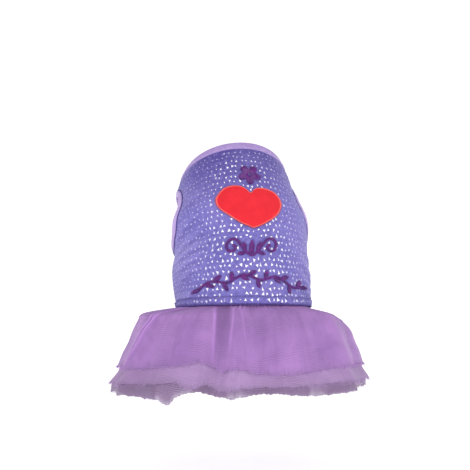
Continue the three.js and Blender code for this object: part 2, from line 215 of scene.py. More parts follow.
def seamPuckers(turn, fromSeam):
    # small puckers that the gathered seam pulls into the cloth above it
    uneven = vestSlack["puckers"] * turn + 2 * np.sin(7 * turn)
    return np.cos(uneven) * np.exp(-fromSeam / vestSlack["puckerTall"])


def vestRelief(turn, up):
    slack = vestSlack
    height = up * neckLength
    swell = np.sin(arcPerTurn * turn / slack["swellWide"] + 1) * np.sin(height / slack["swellTall"] + 0.5)
    ripple = np.sin(slack["ripples"] * turn + height / slack["rippleTall"])
    pucker = seamPuckers(turn, np.maximum(0, height - hemBand["width"]))
    relief = slack["swell"] * swell + slack["ripple"] * ripple + slack["pucker"] * pucker
    for fromTurn, fromUp, toTurn, toUp, wide, proud in vestCreases:
        start = np.array([fromTurn * degree * arcPerTurn, fromUp])
        run = np.array([toTurn * degree * arcPerTurn, toUp]) - start
        dx = wrapped(turn - fromTurn * degree) * arcPerTurn
        dy = height - start[1]
        share = np.clip((dx * run[0] + dy * run[1]) / (run @ run), 0, 1)
        away = np.hypot(dx - share * run[0], dy - share * run[1])
        taper = np.sin(np.pi * share) ** 0.7
        relief = relief + proud * bump(away, wide) * taper
    edge = np.clip((1 - up) * neckLength / slack["flatEdge"], 0, 1)
    return relief * edge


def offVest(turn, up, height):
    turn, up, height = np.broadcast_arrays(*(np.asarray(v, float) for v in (turn, up, height)))
    return offSurface(bodyPoint, turn, up, height + vestRelief(turn, up))


# arc length round the body at each height, for cloth that isn't stretched in its chart
arcTurns = np.linspace(-math.pi, math.pi, 1441)


def arcOf(up):
    run = runAlong(bodyPoint(arcTurns, up))
    return run - run[len(arcTurns) // 2]


def gridFaces(rows, columns, ring=False, across=None, start=0, flip=False):
    # faces of a grid of points, open or closed round its columns
    across = across or (columns if ring else columns + 1)
    row, column = np.meshgrid(np.arange(rows), np.arange(columns), indexing="ij")
    after = (column + 1) % across if ring else column + 1
    low, high = row * across, (row + 1) * across
    faces = np.stack([low + column, low + after, high + after, high + column], axis=-1).reshape(-1, 4)
    return start + (faces[:, ::-1] if flip else faces)


def hoopFaces(rows, columns):
    # a grid that is closed both ways
    return gridFaces(rows, columns, ring=True) % (rows * columns)


def gridCorners(rows, columns):
    # the row and the column at every face corner, running on past the last column
    row, column = np.meshgrid(np.arange(rows), np.arange(columns), indexing="ij")
    levels = np.stack([row, row, row + 1, row + 1], axis=-1)
    corners = np.stack([column, column + 1, column + 1, column], axis=-1)
    return levels.ravel(), corners.ravel()


def addPiece(name, points, faces, material, nodes=(), uvs=None, tones=None):
    # uvs is a place on the cloth for each face corner, in mm, and tones hold a value for each point
    mesh = bpy.data.meshes.new(name)
    mesh.from_pydata((np.asarray(points).reshape(-1, 3) * mm).tolist(), [], [f.tolist() for f in faces])
    mesh.polygons.foreach_set("use_smooth", [True] * len(mesh.polygons))
    if uvs is not None:
        layer = mesh.uv_layers.new(name="clothUv")
        layer.data.foreach_set("uv", np.asarray(uvs, float).ravel())
    for key, values in (tones or {}).items():
        attribute = mesh.attributes.new(key, "FLOAT", "POINT")
        attribute.data.foreach_set("value", np.asarray(values, float).ravel())
    mesh.materials.append(material)
    mesh.update()
    piece = bpy.data.objects.new(name, mesh)
    bpy.context.scene.collection.objects.link(piece)
    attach(piece, "root")
    if nodes:
        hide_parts(*nodes)
    return piece


def wallMesh(outer, inner, ring=False):
    # a closed wall between two grids of the same size
    rows, across = outer.shape[0] - 1, outer.shape[1]
    columns = across if ring else across - 1
    count = (rows + 1) * across
    points = np.concatenate([outer.reshape(-1, 3), inner.reshape(-1, 3)])
    faces = [gridFaces(rows, columns, ring, across), gridFaces(rows, columns, ring, across, count, True)]
    column = np.arange(columns)
    after = (column + 1) % across
    faces.append(np.stack([count + column, count + after, after, column], axis=-1))
    top = rows * across
    faces.append(np.stack([top + column, top + after, count + top + after, count + top + column], axis=-1))
    if not ring:
        row = np.arange(rows) * across
        faces.append(np.stack([row, row + across, count + row + across, count + row], axis=-1))
        side = row + across - 1
        faces.append(np.stack([count + side, count + side + across, side + across, side], axis=-1))
    return points, np.concatenate(faces)


def tubes(centres, normals, radius):
    # one closed tube along each row of centres
    count, steps = centres.shape[:2]
    along = unit(np.gradient(centres, axis=1))
    side = unit(np.cross(along, normals))
    lift = unit(np.cross(side, along))
    angle = np.arange(tubeSides) * 2 * math.pi / tubeSides
    radius = np.broadcast_to(radius, (count, steps))[..., None, None]
    ring = np.cos(angle)[:, None] * lift[:, :, None] + np.sin(angle)[:, None] * side[:, :, None]
    points = centres[:, :, None] + radius * ring
    start = np.arange(count)[:, None] * steps * tubeSides
    walls = gridFaces(steps - 1, tubeSides, ring=True) + start[..., None]
    foot = start + np.arange(tubeSides)
    caps = [foot[:, ::-1], foot + (steps - 1) * tubeSides]
    return points.reshape(-1, 3), np.concatenate([walls.reshape(-1, 4), *caps])


def joined(parts):
    points, faces, start = [], [], 0
    for somePoints, someFaces in parts:
        points.append(somePoints.reshape(-1, 3))
        faces.append(np.asarray(someFaces) + start)
        start += len(points[-1])
    return np.concatenate(points), np.concatenate(faces)


def paint(red, green, blue):
    # a colour as seen on a screen, 0 to 255
    share = np.array([red, green, blue]) / 255
    linear = np.where(share <= 0.04045, share / 12.92, ((share + 0.055) / 1.055) ** 2.4)
    return (*linear.tolist(), 1.0)


def newFinish(name, **sockets):
    material = bpy.data.materials.new(name)
    material.use_nodes = True
    tree = material.node_tree
    shader = tree.nodes["Principled BSDF"]
    for key, value in sockets.items():
        shader.inputs[key.replace("_", " ")].default_value = value
    return material, tree, shader


def addNode(tree, kind, inputs=None, **settings):
    node = tree.nodes.new("ShaderNode" + kind)
    for key, value in settings.items():
        setattr(node, key, value)
    for key, value in (inputs or {}).items():  # a socket is linked, a value is set
        if isinstance(value, bpy.types.NodeSocket):
            tree.links.new(value, node.inputs[key])
        else:
            node.inputs[key].default_value = value
    return node


def clothPlace(tree):
    return addNode(tree, "UVMap", uv_map="clothUv").outputs["UV"]


def objectPlace(tree):
    return addNode(tree, "TexCoord").outputs["Object"]


def scaled(tree, vector, scale, turn=0.0):
    inputs = {"Vector": vector, "Scale": scale, "Rotation": (0, 0, turn)}
    return addNode(tree, "Mapping", inputs).outputs["Vector"]


def noise(tree, vector, scale, detail=3.0, roughness=0.55):
    inputs = {"Vector": vector, "Scale": scale, "Detail": detail, "Roughness": roughness}
    return addNode(tree, "TexNoise", inputs).outputs["Fac"]


def wave(tree, vector, period, direction="X", distortion=0.0, detail=1.0, detailScale=1.0):
    inputs = {
        "Vector": vector, "Scale": math.pi / 10 / period,  # bands lie pi / 10 apart at a scale of 1
        "Distortion": distortion, "Detail": detail, "Detail Scale": detailScale,
    }
    return addNode(tree, "TexWave", inputs, bands_direction=direction).outputs["Fac"]


def blended(tree, factor, low, high):
    inputs = {0: factor, 6: low, 7: high}
    return addNode(tree, "Mix", inputs, data_type="RGBA").outputs[2]


def coated(tree, colour, coats):
    # each coat is how much of it shows, and its paint
    for share, shade in coats:
        colour = blended(tree, share, colour, paint(*shade))
    return colour


def calc(tree, operation, first, second):
    return addNode(tree, "Math", {0: first, 1: second}, operation=operation).outputs[0]


def times(tree, first, second):
    return calc(tree, "MULTIPLY", first, second)


def plus(tree, first, second):
    return calc(tree, "ADD", first, second)


def ranged(tree, value, low, high, toLow=0.0, toHigh=1.0):
    inputs = {"Value": value, "From Min": low, "From Max": high, "To Min": toLow, "To Max": toHigh}
    return addNode(tree, "MapRange", inputs, clamp=True).outputs["Result"]


def tone(tree, name):
    return addNode(tree, "Attribute", attribute_name=name).outputs["Fac"]


def finishWith(tree, shader, colour=None, roughness=None, height=None, depth=0.1, strength=0.5, alpha=None):
    if colour is not None:
        tree.links.new(colour, shader.inputs["Base Color"])
    if roughness is not None:
        tree.links.new(roughness, shader.inputs["Roughness"])
    if alpha is not None:
        tree.links.new(alpha, shader.inputs["Alpha"])
    if height is not None:
        inputs = {"Height": height, "Distance": depth * mm, "Strength": strength}
        tree.links.new(addNode(tree, "Bump", inputs).outputs["Normal"], shader.inputs["Normal"])


clothLook = {
    # the deep colour is painted shade towards the neck
    "ground": (110, 101, 178), "light": (126, 117, 192), "deep": (66, 50, 132),
    "neckShadeFrom": 84, "neckShadeTo": 132,  # mm up the back over which the painted shade towards the neck grows
    "course": 0.95, "rib": 1.1,  # mm of the knit
    # the furrow colour is painted shade in the furrows of the knit
    "fibre": (92, 84, 158), "furrowShade": (70, 60, 132), "dim": (80, 70, 146), "bright": (142, 134, 206),
    # the crest colour is a painted highlight on the creases, the valley colour painted shade under them
    "crestHighlight": (150, 140, 208), "creaseShade": (72, 62, 138), "sheen": (214, 208, 245),
}


def clothFinish():
    look = clothLook
    material, tree, shader = newFinish(
        "flecked knit", Roughness=0.72, Sheen_Weight=0.45, Sheen_Roughness=0.45,
        Sheen_Tint=paint(*look["sheen"]), Specular_IOR_Level=0.3,
    )
    place = clothPlace(tree)
    course = wave(tree, place, look["course"], "Y", 1.0, 2.0, 2.0)
    rib = wave(tree, place, look["rib"], "X", 1.0, 2.0, 2.0)
    knit = times(tree, course, rib)
    broad = noise(tree, place, 0.035, 3.0)
    fibre = noise(tree, place, 1.6, 4.0, 0.7)
    mottle = noise(tree, scaled(tree, place, (0.8, 1.3, 1)), 0.3, 3.0, 0.6)
    up = addNode(tree, "SeparateXYZ", {"Vector": place}).outputs["Y"]
    ground = blended(tree, ranged(tree, broad, 0.3, 0.7), paint(*look["ground"]), paint(*look["light"]))
    colour = coated(tree, ground, [
        # painted shade that grows towards the neck
        (ranged(tree, up, look["neckShadeFrom"], look["neckShadeTo"], 0.0, 0.95), look["deep"]),
        (ranged(tree, fibre, 0.35, 0.75, 0.0, 0.3), look["fibre"]),
        # painted shade in the knit's furrows, where its bump dips
        (ranged(tree, knit, 0.0, 0.8, 0.22, 0.0), look["furrowShade"]),
        (ranged(tree, mottle, 0.5, 0.68, 0.0, 0.55), look["dim"]),
        (ranged(tree, mottle, 0.32, 0.5, 0.4, 0.0), look["bright"]),
        # a painted highlight on the creases and painted shade just under them
        (times(tree, tone(tree, "crestHighlight"), 0.45), look["crestHighlight"]),
        (times(tree, tone(tree, "creaseShade"), 0.6), look["creaseShade"]),
    ])
    rough = ranged(tree, fibre, 0.3, 0.7, 0.62, 0.82)
    height = plus(tree, knit, times(tree, fibre, 0.7))
    finishWith(tree, shader, colour, rough, height, 0.22, 0.6)
    return material


bindingLook = {
    "ground": (166, 142, 198), "light": (182, 159, 212), "pucker": (142, 116, 180),
    "twillHighlight": (226, 208, 245), "worn": (148, 120, 184), "sheen": (235, 222, 250),
    "twill": 0.55, "slant": 0.9,  # mm of the weave, and its turn in radians
}


def bindingFinish():
    look = bindingLook
    material, tree, shader = newFinish(
        "lilac satin binding", Roughness=0.42, Sheen_Weight=0.3, Sheen_Roughness=0.35,
        Sheen_Tint=paint(*look["sheen"]), Specular_IOR_Level=0.45,
    )
    place = clothPlace(tree)
    twill = wave(tree, scaled(tree, place, (1, 1, 1), look["slant"]), look["twill"], "X", 0.6)
    pucker = noise(tree, scaled(tree, place, (0.35, 1.0, 1.0)), 0.35, 2.0)
    broad = noise(tree, place, 0.05, 2.0)
    ground = blended(tree, ranged(tree, broad, 0.3, 0.7), paint(*look["ground"]), paint(*look["light"]))
    colour = coated(tree, ground, [
        # painted shade in the hollows of the puckers
        (ranged(tree, pucker, 0.35, 0.65, 0.35, 0.0), look["pucker"]),
        # a painted highlight along the lines of the twill
        (times(tree, twill, 0.12), look["twillHighlight"]),
        # painted shade on the neck strip alone
        (times(tree, tone(tree, "worn"), 0.5), look["worn"]),
    ])
    height = plus(tree, times(tree, twill, 0.25), pucker)
    rough = ranged(tree, pucker, 0.3, 0.7, 0.36, 0.52)
    finishWith(tree, shader, colour, rough, height, 0.35, 0.5)
    return material


def threadFinish(name, dark, light, roughness=0.38, shine=0.55):
    # tone is one value for each thread
    material, tree, shader = newFinish(
        name, Roughness=roughness, Specular_IOR_Level=shine, Sheen_Weight=0.15, Sheen_Roughness=0.3,
    )
    strand = noise(tree, objectPlace(tree), 1800, 2.0)
    shade = plus(tree, tone(tree, "tone"), ranged(tree, strand, 0.3, 0.7, -0.12, 0.12))
    colour = blended(tree, ranged(tree, shade, 0.0, 1.0), paint(*dark), paint(*light))
    rough = ranged(tree, strand, 0.3, 0.7, roughness - 0.06, roughness + 0.1)
    finishWith(tree, shader, colour, rough, strand, 0.05, 0.4)
    return material


cloth = clothFinish()
binding = bindingFinish()
print("finishes of the vest made")


# the vest's back and chest panels
panelLook = {
    "columns": 150, "chestColumns": 96, "below": 34, "beside": 72, "above": 16,
    "tuck": 0.3,  # mm that the cloth reaches under its strips
    "turnIn": 0.5, "seamSharp": 40,  # mm that the side edges turn in, and how fast they do
    "crestHighlight": 1.6, "creaseShade": 1.2, "fall": 3.5,  # mm of relief that count as a full painted highlight and full painted shade, and mm up to the crease that the painted shade falls under
}


def panelRows():
    # heights, and how far the armhole cuts into each
    under = stitchGap - panelLook["tuck"]
    tall = (armhole["tall"] / 2 + armBand["width"] + under) / neckLength
    wide = (armhole["wide"] / 2 + armBand["width"] + under) / (bodyForm["chestWidth"] / 2)
    foot = (hemBand["width"] + under) / neckLength
    top = 1 - (neckBand["width"] + under) / neckLength
    low, high = armhole["up"] - tall, armhole["up"] + tall
    angle = np.linspace(0, math.pi, panelLook["beside"])
    ups = [np.linspace(foot, low, panelLook["below"])[:-1], armhole["up"] - tall * np.cos(angle)]
    ups.append(np.linspace(high, top, panelLook["above"])[1:])
    reach = [np.zeros(len(ups[0])), wide * np.sin(angle), np.zeros(len(ups[2]))]
    return np.concatenate(ups), np.concatenate(reach)


def addPanel(name, node, middle, half, columns):
    ups, cut = panelRows()
    reach = half - stitchGap / bodyForm["chestWidth"] - cut
    share = 2 * np.linspace(0, 1, columns + 1) - 1
    turn = middle + reach[:, None] * share
    up = np.broadcast_to(ups[:, None], turn.shape)
    turnIn = -panelLook["turnIn"] * np.exp(-(1 - np.abs(share)) * panelLook["seamSharp"])
    inset = turnIn[None] * np.ones_like(turn)
    points, faces = wallMesh(offVest(turn, up, inset), offVest(turn, up, inset - bodyForm["wall"]))
    u = np.stack([np.interp(wrapped(row - middle), arcTurns, arcOf(at)) for row, at in zip(turn, ups)])
    uv = np.tile(np.stack([u, up * neckLength], axis=-1).reshape(-1, 2), (2, 1))
    # a painted highlight on each crease and painted shade under it, as if lit from above
    relief = vestRelief(turn, up)
    drop = vestRelief(turn, up + panelLook["fall"] / neckLength) - relief
    crestHighlight = np.clip(relief / panelLook["crestHighlight"], 0, 1)
    creaseShade = np.clip(drop / panelLook["creaseShade"], 0, 1)
    tones = {"crestHighlight": np.stack([crestHighlight, crestHighlight]), "creaseShade": np.stack([creaseShade, creaseShade])}
    return addPiece(name, points, faces, cloth, [node], uv[faces.ravel()], tones)


vestBack = addPanel("backPanel", "back_panel", 0, armhole["turn"], panelLook["columns"])
vestChest = addPanel(
    "chestPanel", "chest_panel", math.pi, math.pi - armhole["turn"], panelLook["chestColumns"]
)
print("vest panels made")


# folded strips round the neck, the armholes and the waist
bandLook = {"profile": 18, "square": 3.2}


def bandProfile(band):
    # mm from the free edge and height, round a folded strip
    angle = np.linspace(0, 2 * math.pi, bandLook["profile"], endpoint=False)
    power = 2 / bandLook["square"]
    along = band["width"] / 2 * (1 + signedPower(np.cos(angle), power))
    height = band["proud"] - band["wall"] / 2 + band["wall"] / 2 * signedPower(np.sin(angle), power)
    return along, height


# the last argument is the share of painted shade that the strip takes, full for the neck strip
def addBand(name, node, material, band, place, worn=0.0):
    columns = band["columns"]
    around = np.linspace(0, 2 * math.pi, columns, endpoint=False)
    along, height = bandProfile(band)
    points = place(around[None], along[:, None], height[:, None])
    faces = hoopFaces(len(along), columns)
    girth = runAlong(np.stack([along, height], axis=-1))
    girth = np.append(girth, girth[-1] + 1)
    levels, corners = gridCorners(len(along), columns)
    uv = np.stack([corners / columns * band["round"], girth[levels]], axis=-1)
    tones = {"worn": np.full(points.shape[:2], worn)}
    return addPiece(name, points, faces, material, [node], uv, tones)


def neckPlace(around, along, height):
    # a slight pucker at every few stitches, and two joins in the strip at the back
    uneven = np.sin(neckBand["puckers"] * around + 2 * np.sin(9 * around))
    pucker = neckBand["pucker"] * uneven * np.sin(np.pi * along / neckBand["width"])
    fromJoins = [wrapped(around - at * degree) / degree for at in neckBand["joins"]]
    dip = neckBand["joinDip"] * sum(bump(away, neckBand["joinWide"]) for away in fromJoins)
    return offVest(around, 1 - along / neckLength, height + np.clip(height, 0, 1) * (pucker - dip))


def armPlace(side):
    flare = armBand["flareRight"] if side > 0 else armBand["flareLeft"]

    def place(around, along, height):
        wide = (armhole["wide"] / 2 + along) / (bodyForm["chestWidth"] / 2)
        tall = (armhole["tall"] / 2 + along) / neckLength
        pucker = armBand["pucker"] * np.sin(armBand["puckers"] * around + side)
        pucker = pucker * np.sin(np.pi * along / armBand["width"])
        behind = np.maximum(0, -np.sin(around))
        lift = height + np.clip(height, 0, 1) * pucker + flare * behind * (1 - along / armBand["width"])
        turn = side * armhole["turn"] + side * wide * np.sin(around)
        return offVest(turn, armhole["up"] - tall * np.cos(around), lift)

    return place


def hemPlace(around, along, height):
    # along runs up from the seam
    swell = hemBand["swell"] * np.sin(np.pi * along / hemBand["width"])
    pucker = hemBand["pucker"] * seamPuckers(around, along)
    lift = height + np.clip(height, 0, 1) * (swell + pucker)
    return offVest(around, along / neckLength, lift)


bothSides = ((-1, "left"), (1, "right"))
addBand("neckBinding", "neck_binding", binding, neckBand, neckPlace, worn=1.0)
for side, word in bothSides:
    name, node = "armholeBinding" + word.title(), "armhole_binding_" + word
    addBand(name, node, binding, armBand, armPlace(side))
addBand("waistHem", "waist_hem", cloth, hemBand, hemPlace)
print("bands made")


# machine stitches along the bands
stitchLook = {
    "pitch": 2.9, "share": 0.72, "thick": 0.26, "steps": 5, "rise": 0.22,
    # mm from the strip's sewn edge, and above the body
    "neckIn": 1.1, "armIn": 1.0, "hemIn": 0.9, "height": 0.86, "hemHeight": 1.0,
    # dark and light of each thread
    "lilac": [(150, 124, 190), (222, 206, 244)],
    "violet": [(92, 82, 158), (136, 126, 198)],
    "deepViolet": [(62, 46, 122), (96, 78, 160)],
}
bindingThread = threadFinish("lilac thread", *stitchLook["lilac"])
hemThread = threadFinish("violet thread", *stitchLook["violet"], 0.5, 0.4)
seamAndShadeThread = threadFinish("dark violet thread", *stitchLook["deepViolet"], 0.5, 0.4)


def stitchRun(place, along, base):
    # evenly spaced stitches round one band
    fine = np.linspace(0, 2 * math.pi, 4001)
    run = runAlong(place(fine, along + 0 * fine, base + 0 * fine))
    count = int(run[-1] / stitchLook["pitch"])
    starts = np.arange(count) * run[-1] / count
    share = np.linspace(0, 1, stitchLook["steps"])
    spots = starts[:, None] + share * stitchLook["pitch"] * stitchLook["share"]
    around = np.interp(spots, run, fine)
    alongs = along + 0 * around
    heights = base + stitchLook["rise"] * (np.sin(np.pi * share) ** 0.5 - 0.6) + 0 * around
    centres = place(around, alongs, heights)
    higher = place(around, alongs, heights + 1)
    radius = stitchLook["thick"] * (0.6 + 0.4 * np.sin(np.pi * share))
    return tubes(centres, unit(higher - centres), radius)


def perThread(points, threads, low=0.0, high=1.0):
    values = chance.uniform(low, high, threads)
    return np.repeat(values, len(points) // threads)


def addStitches(name, runs, material):
    points, faces = joined(runs)
    threads = len(points) // (stitchLook["steps"] * tubeSides)
    tones = {"tone": perThread(points, threads, 0.4, 1.0)}
    return addPiece(name, points, faces, material, (), tones=tones)


neckRun = stitchRun(neckPlace, neckBand["width"] - stitchLook["neckIn"], stitchLook["height"])
armRuns = [
    stitchRun(armPlace(side), armBand["width"] - stitchLook["armIn"], stitchLook["height"])
    for side, word in bothSides
]
hemRun = stitchRun(hemPlace, hemBand["width"] - stitchLook["hemIn"], stitchLook["hemHeight"])
addStitches("neckStitches", [neckRun], bindingThread)
addStitches("armholeStitches", armRuns, bindingThread)
addStitches("hemStitches", [hemRun], hemThread)


# overlocked edges that show as a dark line beside a band, the dark thread partly standing in for painted
# shade in the gap there: mm along and above it, radius and how many lumps go round
waistCord = {"along": -0.35, "height": 0.25, "radius": 0.62, "lumps": 300}
armCord = {"along": armBand["width"] + 0.3, "height": 0.15, "radius": 0.5, "lumps": 160}
cordLook = {"sides": 7, "wobble": 0.12, "swell": 0.2}


def addSeamCord(name, place, cord):
    count = 4 * cord["lumps"]
    around = np.linspace(0, 2 * math.pi, count, endpoint=False)
    lumps = np.sin(cord["lumps"] * around)
    wobble = cordLook["wobble"] * np.sin(cord["lumps"] / 2 * around)
    thick = cord["radius"] * (1 + cordLook["swell"] * lumps)
    angle = np.linspace(0, 2 * math.pi, cordLook["sides"], endpoint=False)[:, None]
    alongs = cord["along"] + wobble + thick * np.cos(angle)
    points = place(around[None] + 0 * alongs, alongs, cord["height"] + thick * np.sin(angle))
    # a painted highlight over each lump and painted shade between them
    tones = {"tone": np.broadcast_to(0.5 + 0.5 * lumps, alongs.shape)}
    faces = hoopFaces(cordLook["sides"], count)
    addPiece(name, points, faces, seamAndShadeThread, (), tones=tones)


addSeamCord("waistSeam", hemPlace, waistCord)
for side, word in bothSides:
    addSeamCord("armholeSeam" + word.title(), armPlace(side), armCord)
print("stitches made")


# the back's chart runs across from the middle and up from the waist seam, in mm
def straight(first, second):
    return float(np.linalg.norm(second - first))


backMiddle = bodyPoint(0, 0.5)
backLength = straight(bodyPoint(0, 0), backMiddle) + straight(backMiddle, bodyPoint(0, 1))


def backSpot(across, up):
    height = np.asarray(up, float) / backLength
    ring = bodyRing(height)
    share = np.clip(across / ring["halfWidth"], -1, 1)
    return np.arcsin(signedPower(share, ring["roundness"] / 2)), height


def offBack(across, up, height):
    turn, share = backSpot(across, up)
    return offVest(turn, share, height)


def backChart(turn, up):
    ring = bodyRing(up)
    return ring["halfWidth"] * signedPower(np.sin(turn), 2 / ring["roundness"]), up * backLength


threadSteps = 6  # points along each satin thread


def threadsBetween(first, second, lift, bow, radius):
    # first and second are chart spots, one pair for each thread
    share = np.linspace(0, 1, threadSteps)[None, :, None]
    spots = first[:, None] * (1 - share) + second[:, None] * share
    arch = np.sin(np.pi * np.linspace(0.04, 0.96, threadSteps)) ** 0.55
    heights = lift + bow[:, None] * arch
    centres = offBack(spots[..., 0], spots[..., 1], heights)
    higher = offBack(spots[..., 0], spots[..., 1], heights + 1)
    return tubes(centres, unit(higher - centres), radius)


def padBetween(first, second, lift, rise, foot, rows=7, ring=False):
    # the arched bed under a row of threads
    share = np.linspace(0, 1, rows)[:, None, None]
    spots = first[None] * (1 - share) + second[None] * share
    arch = np.sin(np.pi * np.linspace(0.06, 0.94, rows)) ** 0.6
    outer = offBack(spots[..., 0], spots[..., 1], lift + arch[:, None] * rise)
    inner = offBack(spots[..., 0], spots[..., 1], foot + 0 * spots[..., 0])
    return wallMesh(outer, inner, ring)


# the felt heart and its satin border, in mm
heart = {
    "width": 66, "height": 46.5, "across": 3, "up": 78, "wall": 1.0, "dome": 0.7, "thinEdge": 0.75,
    "columns": 90, "rows": 34,
    "felt": (214, 34, 47), "light": (226, 41, 54), "fuzz": (204, 28, 42), "sheen": (255, 150, 140),
    # degrees from its left side round to its right, lower and upper edge as shares of the height
    "edges": [
        (0, 0.63, 0.69), (22, 0.487, 0.81), (45, 0.319, 0.965), (66, 0.133, 1.0), (80, 0.043, 0.955),
        (88, 0.0, 0.875), (93, 0.016, 0.81), (103, 0.062, 0.915), (115, 0.14, 0.938), (130, 0.243, 0.917),
        (150, 0.393, 0.84), (165, 0.525, 0.735), (180, 0.6, 0.65),
    ],
}
heartBorder = {
    "width": 2.4, "under": 0.5, "gap": 0.42, "radius": 0.27, "rise": 0.1, "bow": 0.85, "pad": 0.75,
    "dark": (168, 34, 70), "light": (250, 104, 92),
    # tone at each point of a thread: painted shade where it dips into the cloth, a painted highlight over
    # its crown, and painted shade on the pad between threads
    "crownHighlight": [0, 0.3, 0.9, 1.0, 0.8, 0.5], "padShade": 0.1,
}
heartEdge = smoothTable(heart["edges"])


def heartSpot(around, level, inset):
    lower, upper = heartEdge(around)
    size = 1 - 2 * inset / heart["width"]
    across = heart["across"] - size * np.cos(np.asarray(around) * degree) * heart["width"] / 2
    rise = 0.5 + size * (mix(lower, upper, level) - 0.5)
    return np.stack(np.broadcast_arrays(across, heart["up"] + rise * heart["height"]), axis=-1)


def heartOutline(inset, samples=3000):
    around = np.linspace(0, 180, samples)
    lower = heartSpot(around, 0.0, inset)
    upper = heartSpot(around[::-1], 1.0, inset)
    return np.concatenate([lower, upper, lower[:1]])


def feltFinish():
    material, tree, shader = newFinish(
        "red felt", Roughness=0.85, Sheen_Weight=0.12, Sheen_Roughness=0.5,
        Sheen_Tint=paint(*heart["sheen"]), Specular_IOR_Level=0.25,
    )
    place = objectPlace(tree)
    fuzz = noise(tree, place, 1400, 5.0, 0.7)
    broad = noise(tree, place, 90, 2.0)
    ground = blended(tree, ranged(tree, broad, 0.3, 0.7), paint(*heart["felt"]), paint(*heart["light"]))
    colour = coated(tree, ground, [(ranged(tree, fuzz, 0.35, 0.7, 0.0, 0.35), heart["fuzz"])])
    finishWith(tree, shader, colour, ranged(tree, fuzz, 0.3, 0.7, 0.78, 0.95), fuzz, 0.25, 0.55)
    return material


def addHeart():
    around = np.linspace(0, 180, heart["columns"] + 1)[None]
    level = (1 - np.cos(np.linspace(0, math.pi, heart["rows"] + 1)))[:, None] / 2
    spot = heartSpot(around, level, heartBorder["width"] - heartBorder["under"])
    edge = np.minimum(4 * level * (1 - level), np.sin(around * degree) ** 2)
    edge = np.clip(edge * 3, 0, 1) ** 0.5
    base = stitchGap + heart["wall"] * heart["thinEdge"] + heart["dome"] * edge
    outer = offBack(spot[..., 0], spot[..., 1], base)
    inner = offBack(spot[..., 0], spot[..., 1], stitchGap + 0 * base)
    points, faces = wallMesh(outer, inner)
    addPiece("heartPatch", points, faces, feltFinish(), ["heart_patch"])


def addHeartBorder():
    look = heartBorder
    outline, inside = heartOutline(0.0), heartOutline(look["width"])
    run = runAlong(outline)
    count = int(run[-1] / look["gap"])
    spots = np.linspace(0, run[-1], count, endpoint=False)
    first = np.stack([np.interp(spots, run, outline[:, k]) for k in (0, 1)], axis=-1)
    second = np.stack([np.interp(spots + 0.5, run, inside[:, k]) for k in (0, 1)], axis=-1)
    first = first + chance.uniform(-0.12, 0.12, first.shape)
    bow = look["bow"] + chance.uniform(-0.06, 0.06, count)
    threads = threadsBetween(first, second, stitchGap + look["rise"], bow, look["radius"])
    pad = padBetween(first, second, stitchGap, look["pad"], stitchGap * 0.5, ring=True)
    points, faces = joined([threads, pad])
    # painted shade at the ends of each thread, a painted highlight over its crown
    shade = mix(0.75, 1.0, perThread(threads[0], count)).reshape(count, threadSteps, -1)
    shade = shade * np.array(look["crownHighlight"])[:, None]
    tones = {"tone": np.concatenate([shade.ravel(), np.full(len(pad[0]), look["padShade"])])}
    coral = threadFinish("coral satin thread", look["dark"], look["light"])
    addPiece("heartBorder", points, faces, coral, ["heart_border"], tones=tones)


addHeart()
addHeartBorder()
print("heart made")


# embroidery in satin stitch
satin = {
    "full": 3.0, "gap": 0.42, "radius": 0.25, "lift": 0.45, "slant": 0.35, "blunt": 0.04,
    # the pad's tone is painted shade seen between the threads
    "bow": 0.75, "pad": 0.68, "padFoot": 0.1, "padShade": 0.15,
    "dark": (50, 8, 98), "light": (120, 24, 138),
}
flower = {
    "across": 6, "up": 137, "petals": 5, "reach": 11.5, "waist": 3.8, "hub": 1.6, "full": 0.6,
    "threads": 170, "radius": 0.3, "bow": 0.45, "petalBow": 0.35, "pad": 0.6,
}
scroll = {
    "across": 1, "up": 59, "half": 25, "rise": 10, "width": 2.6,
    "bends": [
        (0, -0.9), (0.22, -0.55), (0.42, 0.15), (0.62, 0.75), (0.86, 0.8), (1, 0.25), (0.9, -0.35),
        (0.7, -0.35), (0.64, 0.05), (0.76, 0.2),
    ],
    # the bend that it starts at, direction in degrees, length and width in mm
    "leaves": [(0, 90, 16, 5.5), (1, 74, 11, 4.4), (1, -14, 9, 4)],
}
vine = {"up": 23, "half": 50, "arch": 9, "wave": 3, "waves": 3, "width": 2.4}
vineLeaf = {"count": 12, "length": 10, "wide": 4.4, "turn": 52 * degree, "tuck": 0.013}
stitched = []  # chart spots along every stroke, so that flecks keep off them


def splineThrough(bends):
    bends = np.array(bends, float)
    last = len(bends) - 1

    def read(share):
        place = np.clip(np.asarray(share, float), 0, 1) * last
        index = np.minimum(np.floor(place).astype(int), last - 1)
        t = (place - index)[..., None]
        a, b = bends[np.maximum(index - 1, 0)], bends[index]
        c, d = bends[index + 1], bends[np.minimum(index + 2, last)]
        before, after = (c - a) / 2, (d - b) / 2
        cube = 2 * b - 2 * c + before + after
        square = -3 * b + 3 * c - 2 * before - after
        return cube * t**3 + square * t**2 + before * t + b

    return read


